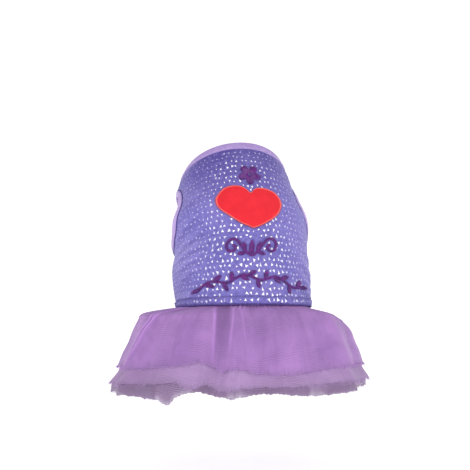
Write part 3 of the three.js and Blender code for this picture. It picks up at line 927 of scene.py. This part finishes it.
def strokeParts(path, width):
    # threads across a path, over an arched pad
    fine = path(np.linspace(0, 1, 1200))
    run = runAlong(fine)
    count = max(6, int(run[-1] / satin["gap"]))
    spots = (np.arange(count) + 0.5) / count * run[-1]
    middle = np.stack([np.interp(spots, run, fine[:, k]) for k in (0, 1)], axis=-1)
    heading = unit(np.gradient(middle, axis=0))
    side = np.stack([heading[:, 1], -heading[:, 0]], axis=-1)
    half = width(spots / run[-1])[:, None] / 2
    slant = heading * half * satin["slant"]
    rough = chance.uniform(-0.1, 0.1, (2, count, 1))
    first = middle - side * (half + rough[0]) - slant
    second = middle + side * (half + rough[1]) + slant
    swell = np.minimum(1, half[:, 0] / (satin["full"] / 2))
    bow = satin["bow"] * swell + chance.uniform(-0.05, 0.05, count)
    threads = threadsBetween(first, second, satin["lift"], bow, satin["radius"])
    left, right = middle - side * half, middle + side * half
    padPoints, padFaces = padBetween(left, right, satin["lift"], satin["pad"] * swell, satin["padFoot"])
    stitched.append(np.concatenate([middle, half], axis=1))
    return threads, count, (padPoints, padFaces[:, ::-1])


def leafPath(foot, angle, length):
    tip = np.asarray(foot) + length * np.array([math.cos(angle), math.sin(angle)])
    return lambda share: foot + np.asarray(share)[..., None] * (tip - foot)


def leafWidth(wide):
    return lambda share: wide * np.sin(np.pi * mix(satin["blunt"], 1 - satin["blunt"], share))


def addEmbroidery(name, node, strokes):
    parts, shades = [], []
    for threads, count, pad in strokes:
        parts += [threads, pad]
        # the pads between the threads take painted shade
        shades += [perThread(threads[0], count), np.full(len(pad[0]), satin["padShade"])]
    points, faces = joined(parts)
    tones = {"tone": np.concatenate(shades)}
    addPiece(name, points, faces, purple, [node], tones=tones)


def flowerStroke():
    angle = np.linspace(0, 2 * math.pi, flower["threads"], endpoint=False)
    angle = angle + chance.uniform(-0.006, 0.006, len(angle))
    petal = np.abs(np.cos(flower["petals"] * angle / 2)) ** flower["full"]
    reach = mix(flower["waist"], flower["reach"], petal)
    ray = np.stack([np.sin(angle), -np.cos(angle)], axis=-1)
    centre = np.array([flower["across"], flower["up"]])
    first, second = centre + flower["hub"] * ray, centre + reach[:, None] * ray
    bow = flower["bow"] + flower["petalBow"] * petal + chance.uniform(-0.04, 0.04, len(angle))
    threads = threadsBetween(first, second, satin["lift"], bow, flower["radius"])
    pad = padBetween(first, second, satin["lift"], flower["pad"] * petal, satin["padFoot"], 9, True)
    stitched.append(np.array([[flower["across"], flower["up"], flower["reach"] - 1]]))
    return threads, len(angle), pad


def scrollStrokes():
    strokes = []
    for side in (-1, 1):
        bends = [
            (scroll["across"] + side * x * scroll["half"], scroll["up"] + y * scroll["rise"])
            for x, y in scroll["bends"]
        ]
        strokes.append(strokeParts(splineThrough(bends), lambda share: scroll["width"] + 0 * share))
        for bend, turn, length, wide in scroll["leaves"][0 if side > 0 else 1:]:
            angle = turn * degree if side > 0 else math.pi - turn * degree
            strokes.append(strokeParts(leafPath(bends[bend], angle, length), leafWidth(wide)))
    return strokes


def vineStrokes():
    bends = 4 * vine["waves"]
    share = 2 * np.arange(bends + 1) / bends - 1
    swing = vine["wave"] * np.sin(math.pi * np.arange(bends + 1) / 2)
    rows = np.stack([share * vine["half"], vine["up"] + vine["arch"] * (0.5 - share**2) + swing], axis=-1)
    path = splineThrough(rows)
    strokes = [strokeParts(path, lambda share: vine["width"] + 0 * share)]
    leaves = [(vineLeaf["tuck"], math.pi), (1 - vineLeaf["tuck"], 0)]
    for number in range(vineLeaf["count"]):
        leaves.append(((number + 0.5) / vineLeaf["count"], vineLeaf["turn"] * (1 if number % 2 else -1)))
    for place, turn in leaves:
        ahead = path(place + 0.004) - path(place - 0.004)
        angle = math.atan2(ahead[1], ahead[0]) + turn
        leaf = leafPath(path(place), angle, vineLeaf["length"])
        strokes.append(strokeParts(leaf, leafWidth(vineLeaf["wide"])))
    return strokes


purple = threadFinish("purple satin thread", satin["dark"], satin["light"], 0.34, 0.55)
addEmbroidery("flowerEmbroidery", "flower_embroidery", [flowerStroke()])
addEmbroidery("scrollEmbroidery", "scroll_embroidery", scrollStrokes())
addEmbroidery("vineEmbroidery", "vine_embroidery", vineStrokes())
print("embroidery made")


# foil flecks all over the vest
fleck = {
    "across": 5.2, "up": 4.7, "jitter": 1.1, "size": 1.5, "thick": 0.16, "bare": 0.05,
    "lowest": 2.9, "clearEdge": 1.2, "clearFoot": 0.9,  # mm to the first row, and kept free
    "clearArm": 1.6, "clearSide": 1.3, "clearThread": 0.7, "clearHeart": 1.0,
    "brightTop": 26, "brightFoot": 48,  # degrees to each side of the middle that a painted glint makes bright
    "dimTop": 26, "dimNeck": 30,  # mm below the neck where they grow smaller, and where painted shade darkens them
    # the dim and neck tones are painted shade at the sides and near the neck
    "dimSize": 0.66, "footSize": 1.12, "topSize": 0.85, "sideShadeTone": 0.36, "neckShadeTone": 0.45,
    "domed": 0.07, "overHem": 0.2, "sunk": 0.1,  # mm
    # dark is a fleck in painted shade and light its painted glint
    "dark": (136, 126, 198), "light": (255, 255, 255),
}


def foilFinish():
    # tone is each fleck's brightness: a painted glint in the middle of the back, painted shade at the sides
    # and near the neck, and a random share
    material, tree, shader = newFinish("foil fleck", Metallic=0.2, Roughness=0.28, Specular_IOR_Level=0.8)
    grain = noise(tree, objectPlace(tree), 2600, 2.0)
    shade = plus(tree, tone(tree, "tone"), ranged(tree, grain, 0.3, 0.7, -0.08, 0.08))
    colour = blended(tree, ranged(tree, shade, 0.0, 1.0), paint(*fleck["dark"]), paint(*fleck["light"]))
    rough = ranged(tree, grain, 0.3, 0.7, 0.24, 0.4)
    finishWith(tree, shader, colour, rough, grain, 0.04, 0.5)
    return material


def fleckShape():
    # three corners at uneven spots, the edges between them a little hollow
    corners = np.array([0, 2 * math.pi / 3, 4 * math.pi / 3]) + chance.uniform(-0.5, 0.5, 3)
    radii = chance.uniform(0.75, 1.3, 3)
    x, y = radii * np.cos(corners), radii * np.sin(corners)
    hollow = chance.uniform(0.78, 1.05, 3) / 2
    shape = np.empty((6, 2))
    shape[0::2] = np.stack([x, y], axis=-1)
    shape[1::2] = (shape[0::2] + np.roll(shape[0::2], -1, axis=0)) * hollow[:, None]
    return shape


def fleckSpots():
    # mm round the body, share of the way up, and the arc that the mm are measured along
    spots = []
    band = hemBand["width"] / neckLength
    foot = fleck["clearFoot"] / neckLength
    top = 1 - (neckBand["width"] + fleck["clearEdge"]) / neckLength
    heights = np.arange(fleck["lowest"] / neckLength, top, fleck["up"] / neckLength)
    for row, up in enumerate(heights):
        arc = arcOf(up)
        count = int((arc[-1] - arc[0]) / fleck["across"])
        places = arc[0] + (np.arange(count) + 0.5 * (row % 2)) / count * (arc[-1] - arc[0])
        places = places + chance.uniform(-1, 1, count) * fleck["jitter"]
        ups = up + chance.uniform(-1, 1, count) * fleck["jitter"] * 0.8 / neckLength
        keep = chance.random(count) > fleck["bare"]
        for place, height in zip(places[keep], ups[keep]):
            if abs(height - band) * neckLength > fleck["clearEdge"] and foot < height < top:
                spots.append((place, height, arc))
    return spots


def onVest(turn, up):
    edge = armBand["width"] + fleck["clearArm"]
    wide = (armhole["wide"] / 2 + edge) / (bodyForm["chestWidth"] / 2)
    tall = (armhole["tall"] / 2 + edge) / neckLength
    fromSide = wrapped(turn - np.sign(np.sin(turn)) * armhole["turn"])
    away = np.hypot(fromSide / wide, (up - armhole["up"]) / tall)
    return (away > 1) & (np.abs(fromSide) * arcPerTurn > fleck["clearSide"])


allStitched = np.concatenate(stitched)


def underTrim(turn, up):
    if abs(turn) > math.pi / 2:
        return False
    across, height = backChart(turn, up)
    share = (across - heart["across"]) / (heart["width"] / 2 + fleck["clearHeart"])
    if abs(share) < 1:
        lower, upper = heartEdge(math.degrees(math.acos(-share))) * heart["height"]
        if lower - fleck["clearEdge"] < height - heart["up"] < upper + fleck["clearEdge"]:
            return True
    away = np.hypot(allStitched[:, 0] - across, allStitched[:, 1] - height)
    return bool(np.any(away < allStitched[:, 2] + fleck["clearThread"]))


def addFlecks():
    points, tones = [], []
    for arcPlace, up, arc in fleckSpots():
        middle = float(np.interp(arcPlace, arc, arcTurns))
        if not onVest(middle, up) or underTrim(middle, up):
            continue
        bright = mix(fleck["brightFoot"], fleck["brightTop"], up) * degree
        fromNeck = (1 - up) * neckLength
        fade = math.exp(-((middle / bright) ** 4)) * min(1, fromNeck / fleck["dimTop"])
        size = fleck["size"] * chance.uniform(0.7, 1.2) * mix(fleck["dimSize"], 1.0, fade)
        size = size * mix(fleck["footSize"], fleck["topSize"], up)
        angle = chance.uniform(0, 2 * math.pi)
        cosine, sine = math.cos(angle), math.sin(angle)
        x, y = size * (fleckShape() @ np.array([[cosine, sine], [-sine, cosine]])).T
        turns = np.interp(arcPlace + np.append(x, 0), arc, arcTurns)
        ups = up + np.append(y, 0) / neckLength
        onHem = up * neckLength < hemBand["width"]
        lift = (hemBand["proud"] + fleck["overHem"] if onHem else 0.0) + fleck["thick"]
        # six corners and a middle on top, and the six corners under them
        tilt = chance.uniform(-0.05, 0.05, 7)
        tilt[6] = fleck["domed"]
        top = (turns, ups, lift + tilt)
        foot = (turns[:6], ups[:6], np.full(6, lift - fleck["thick"] - fleck["sunk"]))
        points.append([np.concatenate([t, f]) for t, f in zip(top, foot)])
        nearNeck = min(1, fromNeck / fleck["dimNeck"])
        # a painted glint in the middle, painted shade at the sides and near the neck
        glint = mix(fleck["sideShadeTone"], 1.0, fade) * mix(fleck["neckShadeTone"], 1.0, nearNeck)
        tones.append(np.full(13, glint * chance.uniform(0.75, 1.0)))
    turns, ups, heights = np.array(points).transpose(1, 0, 2)
    corner = np.arange(6)
    after = (corner + 1) % 6
    fan = np.stack([np.full(6, 6), corner, after], axis=-1)
    wall = np.stack([corner, corner + 7, after + 7, after], axis=-1)
    start = (np.arange(len(turns)) * 13)[:, None, None]
    faces = [*(fan + start).reshape(-1, 3), *(wall + start).reshape(-1, 4)]
    tones = {"tone": np.concatenate(tones)}
    foil = addPiece(
        "foilFlecks", offVest(turns, ups, heights), faces, foilFinish(), (), tones=tones
    )
    foil.data.polygons.foreach_set("use_smooth", [False] * len(foil.data.polygons))
    print(len(turns), "flecks")


addFlecks()
print("flecks made")


# the skirt's form, its folds and gathers
skirt = {
    "drop": 84, "spreadSide": 62, "spreadBack": 42, "sway": -4.8, "hemLean": 5 * degree,
    "foldDepth": 7, "foldLean": 6 * degree, "gathers": 14, "gatherDepth": 1.6, "gatherFade": 3,
    "seamDip": 0.2, "wall": 1.0, "gapSeam": 1.0, "gapHem": 2.2, "columns": 840, "rows": 54,
    "round": 640,  # mm that the finish is drawn to round a hem
    "ruffle": 0.55, "ruffles": 118, "ruffleFade": 0.07, "waver": 0.5, "wavers": 23,
    # down, side, back
    "profile": [
        (0.0, 0.0, 0.0), (0.03, 0.16, 0.1), (0.08, 0.48, 0.24), (0.15, 0.57, 0.36), (0.27, 0.67, 0.5),
        (0.4, 0.73, 0.62), (0.52, 0.8, 0.72), (0.72, 0.89, 0.87), (0.84, 1.0, 0.94), (0.92, 1.02, 0.98),
        (1.0, 1.01, 1.02),
    ],
    # at, wide, out, lift, down
    "seamPleats": [(-84, 16, 5.7, 1.8, 0.08), (80, 15, -1.2, -4.6, 0.08)],
    # at, wide, proud
    "folds": [
        (-88, 9, 0.7), (-70, 7, 1.0), (-57, 7, -0.5), (-42, 10, 0.4), (-26, 5, 0.6), (-18, 6, -1.0),
        (-10, 6, 0.8), (1, 8, -0.7), (17, 9, 0.4), (33, 7, -0.4), (48, 8, 0.9), (64, 7, -0.4),
        (84, 9, 0.7), (112, 10, -0.6), (138, 11, 0.7), (165, 11, -0.6), (192, 11, 0.7),
        (219, 11, -0.6), (246, 10, 0.6),
    ],
}
# pleats that hang straight: mm across at the top and at the hem, width, height, how far down, how far the
# cloth is doubled with painted shade in it, and how strong the painted highlight along the fold is
hangingPleats = [
    (-38.5, -43.5, 1.6, 2.0, 0.62, 0.0, 1.0),
    (-30.4, -36.5, 7.6, -2.6, 0.55, 1.0, 0.0),
    (-19.7, -29, 1.3, 1.7, 0.5, 0.0, 0.8),
    (-14, -7, 1.6, 1.7, 0.55, 0.0, 0.45),
    (-5.5, 14, 7.0, -1.9, 0.5, 0.5, 0.0),
    (28, 34, 2.0, 0.8, 0.5, 0.0, 0.0),
    (-62, -70, 3.0, 0.7, 0.5, 0.0, 0.0),
    (52, 66, 2.5, 0.7, 0.45, 0.0, 0.0),
]
# knife pleats that spread with the skirt: degrees at the top and at the hem, width, height and
# how far down
knifePleats = [
    (-64, -82, 1.4, 2.8, 0.95),
    (-66.5, -86.5, 1.2, 1.8, 0.6),
    (62, 67, 2.2, 0.9, 0.35),
    (-140, -146, 2.6, 2.0, 0.8),
    (125, 130, 2.6, 2.0, 0.8),
    (170, 176, 2.4, 1.8, 0.7),
]
pleatLook = {
    "start": 0.03, "straightTo": 0.7,  # shares of the drop
    "steep": 0.55, "soft": 1.25, "crestHighlight": 1.0,  # of a hanging pleat's two sides, and the width in mm of the painted highlight along its fold
    # the knife crest is the width in mm of the painted highlight along a knife pleat's fold
    "knifeFront": 0.8, "knifeBack": 3.2, "knifeCrest": 1.2,
    "under": 0.7, "underFrom": 2.2, "underWide": 1.6,  # the doubled cloth behind a knife pleat, with the painted shade of its fold
}
# each layer's hem, in degrees round and shares of the drop
topHem = [
    (-178, 0.7), (-150, 0.715), (-120, 0.69), (-90, 0.68), (-66, 0.677), (-50, 0.65), (-37, 0.627),
    (-31, 0.603), (-27, 0.593), (-24, 0.613), (-20, 0.657), (-17, 0.684), (-12, 0.672), (-7, 0.672),
    (0, 0.715), (6, 0.728), (20, 0.725), (49, 0.682), (76, 0.688), (95, 0.7), (120, 0.71), (150, 0.69),
]
middleHem = [
    (-178, 0.86), (-150, 0.85), (-120, 0.87), (-94, 0.85), (-65, 0.83), (-50, 0.807), (-37, 0.8),
    (-30, 0.857), (-22, 0.825), (-17, 0.875), (-8, 0.862), (2, 0.853), (20, 0.853), (48, 0.843),
    (75, 0.855), (100, 0.87), (130, 0.85), (155, 0.865),
]
underHem = [
    (-178, 1.0), (-150, 0.985), (-120, 1.0), (-90, 0.965), (-72, 0.975), (-61, 0.985), (-47, 0.985),
    (-41, 1.03), (-37, 0.942), (-31, 0.895), (-24, 0.895), (-19, 0.932), (-7, 0.95), (0, 0.925),
    (8, 0.92), (20, 0.947), (38, 0.972), (54, 0.955), (81, 0.96), (110, 0.985), (140, 1.0),
]
skirtSection = smoothTable(skirt["profile"])


def foldOut(turn, down):
    grow = np.sqrt(np.maximum(0, down))
    drift = skirt["foldLean"] * np.sin(turn) * down
    folds = 0
    for at, wide, proud in skirt["folds"]:
        folds = folds + proud * bump(wrapped(turn - drift - at * degree) / degree, wide)
    gathers = np.cos(skirt["gathers"] * turn) * np.exp(-skirt["gatherFade"] * down)
    return grow * (skirt["foldDepth"] * folds + skirt["gatherDepth"] * gathers)


def pleatPuff(turn, down):
    out = lift = 0
    for at, wide, pleatOut, pleatLift, fullest in skirt["seamPleats"]:
        share = np.maximum(0, down) / fullest
        fullness = bump(wrapped(turn - at * degree) / degree, wide) * share * np.exp(1 - share)
        out, lift = out + pleatOut * fullness, lift + pleatLift * fullness
    return out, lift


def sharpPleats(turn, down, halfWidth):
    # ridges and doubled panels: a steep side and a soft one, with painted shade in doubled panels and a
    # painted highlight along each fold
    look = pleatLook
    onBack = np.clip(np.cos(turn) * 4, 0, 1)
    across = halfWidth * np.sin(turn)
    start = np.clip(down / look["start"], 0, 1)
    lift = doubledAndShade = ridgeHighlight = 0
    for atTop, atHem, wide, proud, reach, double, pale in hangingPleats:
        away = across - mix(atTop, atHem, np.clip(down / look["straightTo"], 0, 1))
        steep = np.where(away * np.sign(proud) > 0, look["steep"], look["soft"])
        fade = np.clip((reach - down) / reach, 0, 1) ** 0.6 * start
        # cloth that is fully doubled makes a flat panel, any other a rounded ridge
        shape = np.exp(-((away / wide) ** 6)) if double == 1 else bump(away, wide * steep)
        lift = lift + proud * shape * fade * onBack
        doubledAndShade = doubledAndShade + double * shape * fade * onBack
        # a painted highlight along the fold
        ridgeHighlight = ridgeHighlight + pale * bump(away, look["crestHighlight"]) * fade * onBack
    for atTop, atHem, wide, proud, reach in knifePleats:
        away = wrapped(turn - mix(atTop, atHem, np.clip(down, 0, 1)) * degree) * halfWidth
        outward = away * np.sign(atTop)
        front, back = bump(outward, wide * look["knifeFront"]), np.exp(-outward / (wide * look["knifeBack"]))
        fade = np.clip((reach - down) / reach, 0, 1) ** 0.5 * start
        lift = lift + proud * np.where(outward > 0, back, front) * fade
        doubledAndShade = doubledAndShade + look["under"] * bump(outward - look["underFrom"], look["underWide"]) * fade
        ridgeHighlight = ridgeHighlight + bump(away, look["knifeCrest"]) * fade
    return lift, np.clip(doubledAndShade, 0, 1), np.clip(ridgeHighlight, 0, 1)


def skirtPoint(turn, up, fine):
    turn, up = np.broadcast_arrays(np.asarray(turn, float), np.asarray(up, float))
    side, back = skirtSection(-up)
    puffOut, puffLift = pleatPuff(turn, -up)
    out = foldOut(turn, -up) + puffOut
    seam = hemBand["wall"] - hemBand["proud"]
    seat = -stitchGap - skirt["seamDip"] * seam
    f = bodyForm
    halfWidth = f["chestWidth"] / 2 - seam + (skirt["spreadSide"] + seam) * side
    out = out + fine * sharpPleats(turn, -up, halfWidth)[0]
    return ringPoint(
        centre=(-skirt["sway"] * up, 0 * up, skirt["drop"] * up + seat + puffLift),
        halfWidth=halfWidth + out,
        halfDepth=f["chestDepth"] / 2 - seam + (skirt["spreadBack"] + seam) * back + out,
        lean=mix(f["waistLean"], skirt["hemLean"], -up),
        tilt=mix(f["waistTilt"], 0, -up),
        roundness=f["waistRound"],
        turn=turn,
    )


def layerPoint(number, turn, down, height=0.0):
    # the top layer is number 0, and those under it follow its pleats less and less
    depth = number * (skirt["wall"] + mix(skirt["gapSeam"], skirt["gapHem"], down))
    ruffle = skirt["ruffle"] * np.cos(skirt["ruffles"] * turn + 3 * np.sin(11 * turn + number))
    ruffle = ruffle * np.exp(-np.maximum(0, down) / skirt["ruffleFade"])
    waver = skirt["waver"] * np.sin(skirt["wavers"] * turn + 5 * down + 2 * number) * np.clip(down, 0, 1)
    fine = 1 / (1 + 2 * number)
    off = height - depth + ruffle + waver
    return offSurface(lambda t, u: skirtPoint(t, u, fine), turn, -np.asarray(down, float), off)


def frayAt(turn, number):
    # small notches along a cut edge, in shares of the skirt's drop
    return 0.006 * np.sin(61 * turn + number) * np.sin(17 * turn) + 0.004 * np.sin(203 * turn)


tulleLooks = [
    {
        "name": "top", "hem": topHem, "cover": 0.94, "fray": 0.8, "flat": (0.76, 0.086),
        "light": (171, 126, 192), "dark": (149, 108, 174), "edge": (172, 138, 194),
        "overlaps": [],
    },
    {
        "name": "middle", "hem": middleHem, "cover": 0.93, "fray": 0.65, "flat": (0.78, 0.101),
        "light": (170, 138, 186), "dark": (153, 121, 169), "edge": (174, 148, 190),
        "overlaps": [(-34, -14, 0.2), (-8, 32, 0.3)],
    },
    {
        "name": "under", "hem": underHem, "cover": 0.97, "fray": 0.45, "flat": (0.8, 0.115),
        "light": (142, 117, 154), "dark": (126, 102, 138), "edge": (154, 132, 166),
        "overlaps": [(-76, -48, 0.5), (-30, -13, 0.5), (-6, 26, 0.45), (32, 60, 0.35)],
    },
]
tulleRib = {
    "period": 2.15, "cross": 1.3, "least": 0.3, "depth": 0.5, "drift": 3.5, "sheen": (240, 225, 250),
}
# mm from a hem that it looks frayed, mm that light falls past the edge above, the two sides of an
# overlap in degrees, and mm that the finish of each layer is shifted from the one above
tulleEdge = {
    "rim": 2.2, "litDown": 0.5, "litWide": 2.4, "overlapSoft": 6, "overlapSharp": 2, "shift": 31,
}
fringe = {
    "count": 3000, "length": 4.1, "radius": 0.075, "steps": 4,
    "splay": 0.8, "sideways": 0.45, "out": 0.05, "outSpread": 0.3, "curl": 0.25,
    "probe": 0.012,  # share of the drop over which its fall is read
}


def scaledPaint(colour, share):
    return [min(255, c * share) for c in colour]


def tulleFinish(look):
    # doubled is where a pleat lies over itself and takes painted shade, as in the hollows, ridge a painted
    # highlight along its fold, rim near the cut edge, and lit is painted light where light falls through the
    # thin edge of the layer above
    light, dark, edge = look["light"], look["dark"], look["edge"]
    material, tree, shader = newFinish(
        look["name"] + " tulle", Roughness=0.62, Sheen_Weight=0.3, Sheen_Roughness=0.4,
        Sheen_Tint=paint(*tulleRib["sheen"]), Specular_IOR_Level=0.25,
    )
    place = clothPlace(tree)
    warp = noise(tree, scaled(tree, place, (0.02, 0.05, 1)), 1.0, 2.0)
    shift = addNode(tree, "CombineXYZ", {"Y": times(tree, warp, tulleRib["drift"])}).outputs[0]
    drifted = addNode(tree, "VectorMath", {0: place, 1: shift}, operation="ADD").outputs[0]
    rib = wave(tree, drifted, tulleRib["period"], "Y", 0.5, 2.0, 0.6)
    cross = wave(tree, place, tulleRib["cross"], "X", 0.9, 2.0, 0.8)
    patch = ranged(tree, noise(tree, scaled(tree, place, (0.55, 1.0, 1)), 0.055, 3.0), 0.42, 0.6)
    ribbed = times(tree, rib, ranged(tree, patch, 0.0, 1.0, tulleRib["least"], 1.0))
    streak = noise(tree, scaled(tree, place, (1.5, 0.13, 1)), 1.0, 4.0, 0.65)
    broad = noise(tree, scaled(tree, place, (1.0, 0.6, 1)), 0.03, 3.0)
    hang = noise(tree, scaled(tree, place, (0.11, 0.012, 1)), 1.0, 3.0, 0.6)
    frayed = times(tree, tone(tree, "rim"), ranged(tree, streak, 0.36, 0.62, 0.25, 1.0))
    # deeper darkens the ribs, pale is the painted light and the painted highlight
    deeper, pale = scaledPaint(dark, 0.7), scaledPaint(light, 1.16)
    ground = blended(tree, ranged(tree, broad, 0.36, 0.64), paint(*dark), paint(*light))
    colour = coated(tree, ground, [
        (ranged(tree, hang, 0.48, 0.68, 0.0, 0.38), scaledPaint(dark, 0.88)),
        (times(tree, ribbed, tulleRib["depth"]), deeper),
        (times(tree, cross, 0.07), deeper),
        (ranged(tree, streak, 0.35, 0.7, 0.0, 0.12), edge),
        # painted shade where the cloth is doubled and in the hollows
        (times(tree, tone(tree, "doubledAndShade"), 0.9), scaledPaint(dark, 0.82)),
        (times(tree, tone(tree, "lit"), 0.3), pale),
        # a painted highlight along each fold
        (times(tree, tone(tree, "ridgeHighlight"), 0.65), pale),
        (times(tree, frayed, 0.6), edge),
    ])
    full = plus(tree, times(tree, ribbed, 0.08), times(tree, tone(tree, "doubledAndShade"), 0.4))
    alpha = calc(tree, "SUBTRACT", plus(tree, full, look["cover"]), times(tree, frayed, look["fray"]))
    height = plus(tree, ribbed, times(tree, cross, 0.4))
    finishWith(tree, shader, colour, None, height, 0.35, 0.5, ranged(tree, alpha, 0.0, 1.0))
    return material


def tulleTones(number, look, turn, down, hemAt):
    halfWidth = bodyForm["chestWidth"] / 2 + skirt["spreadSide"] * skirtSection(down)[0]
    lift, doubledAndShade, ridgeHighlight = sharpPleats(turn, down, halfWidth)
    doubledAndShade, ridgeHighlight = doubledAndShade / (1 + number), ridgeHighlight / (1 + 2 * number)
    place = wrapped(turn) / degree
    for start, end, thick in look["overlaps"]:
        soft = np.clip((place - start) / tulleEdge["overlapSoft"], 0, 1)
        sharp = np.clip((end - place) / tulleEdge["overlapSharp"], 0, 1)
        doubledAndShade = np.clip(doubledAndShade + thick * soft * sharp, 0, 1)
    rim = np.exp(-(hemAt - down) * skirt["drop"] / tulleEdge["rim"])
    lit = 0 * down
    if number:
        edgeAbove = ringTable(tulleLooks[number - 1]["hem"])(turn)
        lit = bump((down - edgeAbove) * skirt["drop"] - tulleEdge["litDown"], tulleEdge["litWide"])
    return {"doubledAndShade": doubledAndShade, "ridgeHighlight": ridgeHighlight, "rim": rim, "lit": lit}


def addLayer(number, look):
    hem = ringTable(look["hem"])
    columns, rows = skirt["columns"], skirt["rows"]
    turns = np.linspace(-math.pi, math.pi, columns, endpoint=False)
    hemAt = hem(turns) + frayAt(turns, number)
    down = (np.linspace(0, 1, rows + 1) ** 1.35)[::-1, None] * hemAt
    turn = np.broadcast_to(turns, down.shape)
    points = layerPoint(number, turn, down)
    steps = np.linalg.norm(np.diff(points[::-1], axis=0), axis=2)
    length = np.concatenate([np.cumsum(steps, axis=0)[::-1], np.zeros((1, columns))])
    levels, corners = gridCorners(rows, columns)
    u = corners / columns * skirt["round"] + tulleEdge["shift"] * number
    uv = np.stack([u, length[levels, corners % columns]], axis=-1)
    sheet = addPiece(
        look["name"] + "Tulle", points, gridFaces(rows, columns, ring=True), tulleFinish(look),
        ["skirt_" + look["name"] + "_layer"], uv, tulleTones(number, look, turn, down, hemAt),
    )
    strands = addFringe(number, look, hem)


def addFringe(number, look, hem):
    # cut ends of the tulle's threads along its hem
    count, steps = fringe["count"], fringe["steps"]
    turn = chance.uniform(-math.pi, math.pi, count)
    down = hem(turn) + frayAt(turn, number)
    above = layerPoint(number, turn, down - fringe["probe"])
    below = layerPoint(number, turn, down + fringe["probe"])
    outward = unit(layerPoint(number, turn, down, 1.0) - layerPoint(number, turn, down))
    fall = unit(below - above)
    side = unit(np.cross(fall, outward))
    lean = chance.normal(0, fringe["sideways"], (count, 1)) * side
    lean = lean + chance.normal(fringe["out"], fringe["outSpread"], (count, 1)) * outward
    length = fringe["length"] * chance.uniform(0.3, 1.0, (count, 1, 1)) ** 1.3
    curl = chance.normal(0, fringe["curl"], (count, 1)) * outward
    heading = fall + fringe["splay"] * lean
    share = np.linspace(0, 1, steps)[None, :, None]
    path = above[:, None] + length * (share * heading[:, None] + share**2 * curl[:, None])
    radius = fringe["radius"] * (1 - 0.6 * share[..., 0])
    points, faces = tubes(path, np.repeat(outward[:, None], steps, axis=1), radius)
    thread = threadFinish(look["name"] + " fringe", look["light"], scaledPaint(look["edge"], 1.1), 0.7, 0.3)
    tones = {"tone": perThread(points, count)}
    return addPiece(look["name"] + "Fringe", points, faces, thread, (), tones=tones)


for number, look in enumerate(tulleLooks):
    addLayer(number, look)
    print(look["name"], "tulle made")


# floor, light and camera
studio = {
    "floor": -0.165, "floorReach": 6.0, "floorGlow": 0.55, "room": 0.5,
    # azimuth and elevation in degrees, distance and size in m, watts
    "lights": {
        "left": (-75, 14, 1.8, 1.0, 9), "right": (54, 14, 1.8, 1.0, 10), "front": (-9, 4, 2.6, 0.8, 3),
        "top": (-9, 60, 1.7, 1.3, 11),
    },
    "lampShift": (0, 0.02, 0.02),
    "azimuth": -9, "elevation": 10, "distance": 7.0, "across": -8.6, "up": 72, "span": 0.47,
}


def aimed(thing, back):
    thing.rotation_mode = "QUATERNION"
    thing.rotation_quaternion = back.to_track_quat("Z", "Y")


def backOf(azimuth, elevation):
    a, e = azimuth * degree, elevation * degree
    return Vector((math.sin(a) * math.cos(e), -math.cos(a) * math.cos(e), math.sin(e)))


def addLight(name, azimuth, elevation, distance, size, power):
    light = bpy.data.lights.new(name, "AREA")
    light.shape = "DISK"
    light.size = size
    light.energy = power
    lamp = bpy.data.objects.new(name, light)
    bpy.context.scene.collection.objects.link(lamp)
    back = backOf(azimuth, elevation)
    lamp.location = back * distance + Vector(studio["lampShift"])
    aimed(lamp, back)


def addFloor():
    mesh = bpy.data.meshes.new("floor")
    reach = studio["floorReach"]
    corners = [(-reach, -reach), (reach, -reach), (reach, reach), (-reach, reach)]
    mesh.from_pydata([(x, y, studio["floor"]) for x, y in corners], [], [(0, 1, 2, 3)])
    material, tree, shader = newFinish(
        "pale floor", Roughness=0.9, Specular_IOR_Level=0.1, Emission_Color=(1, 1, 1, 1),
        Emission_Strength=studio["floorGlow"],
    )
    dull = noise(tree, objectPlace(tree), 1.5)
    finishWith(tree, shader, blended(tree, dull, paint(250, 250, 250), paint(255, 255, 255)))
    mesh.materials.append(material)
    floor = bpy.data.objects.new("floor", mesh)
    bpy.context.scene.collection.objects.link(floor)


def addRoom():
    world = bpy.data.worlds.new("white room")
    bpy.context.scene.world = world
    world.use_nodes = True
    tree = world.node_tree
    background = tree.nodes["Background"]
    background.inputs["Color"].default_value = (1, 1, 1, 1)
    seen = addNode(tree, "LightPath").outputs["Is Camera Ray"]
    tree.links.new(ranged(tree, seen, 0, 1, studio["room"], 1.0), background.inputs["Strength"])


def addCamera():
    back = backOf(studio["azimuth"], studio["elevation"])
    a = studio["azimuth"] * degree
    right = Vector((math.cos(a), math.sin(a), 0))
    upward = back.cross(right)
    camera = bpy.data.cameras.new("camera")
    camera.sensor_width = 36
    camera.lens = camera.sensor_width * studio["distance"] / studio["span"]
    camera.clip_end = 50
    eye = bpy.data.objects.new("camera", camera)
    bpy.context.scene.collection.objects.link(eye)
    target = (right * studio["across"] + upward * studio["up"]) * mm
    eye.location = target + back * studio["distance"]
    aimed(eye, back)
    bpy.context.scene.camera = eye


addFloor()
addRoom()
for name, values in studio["lights"].items():
    addLight(name, *values)
addCamera()
bpy.context.scene.view_settings.view_transform = "Standard"
print("studio made")
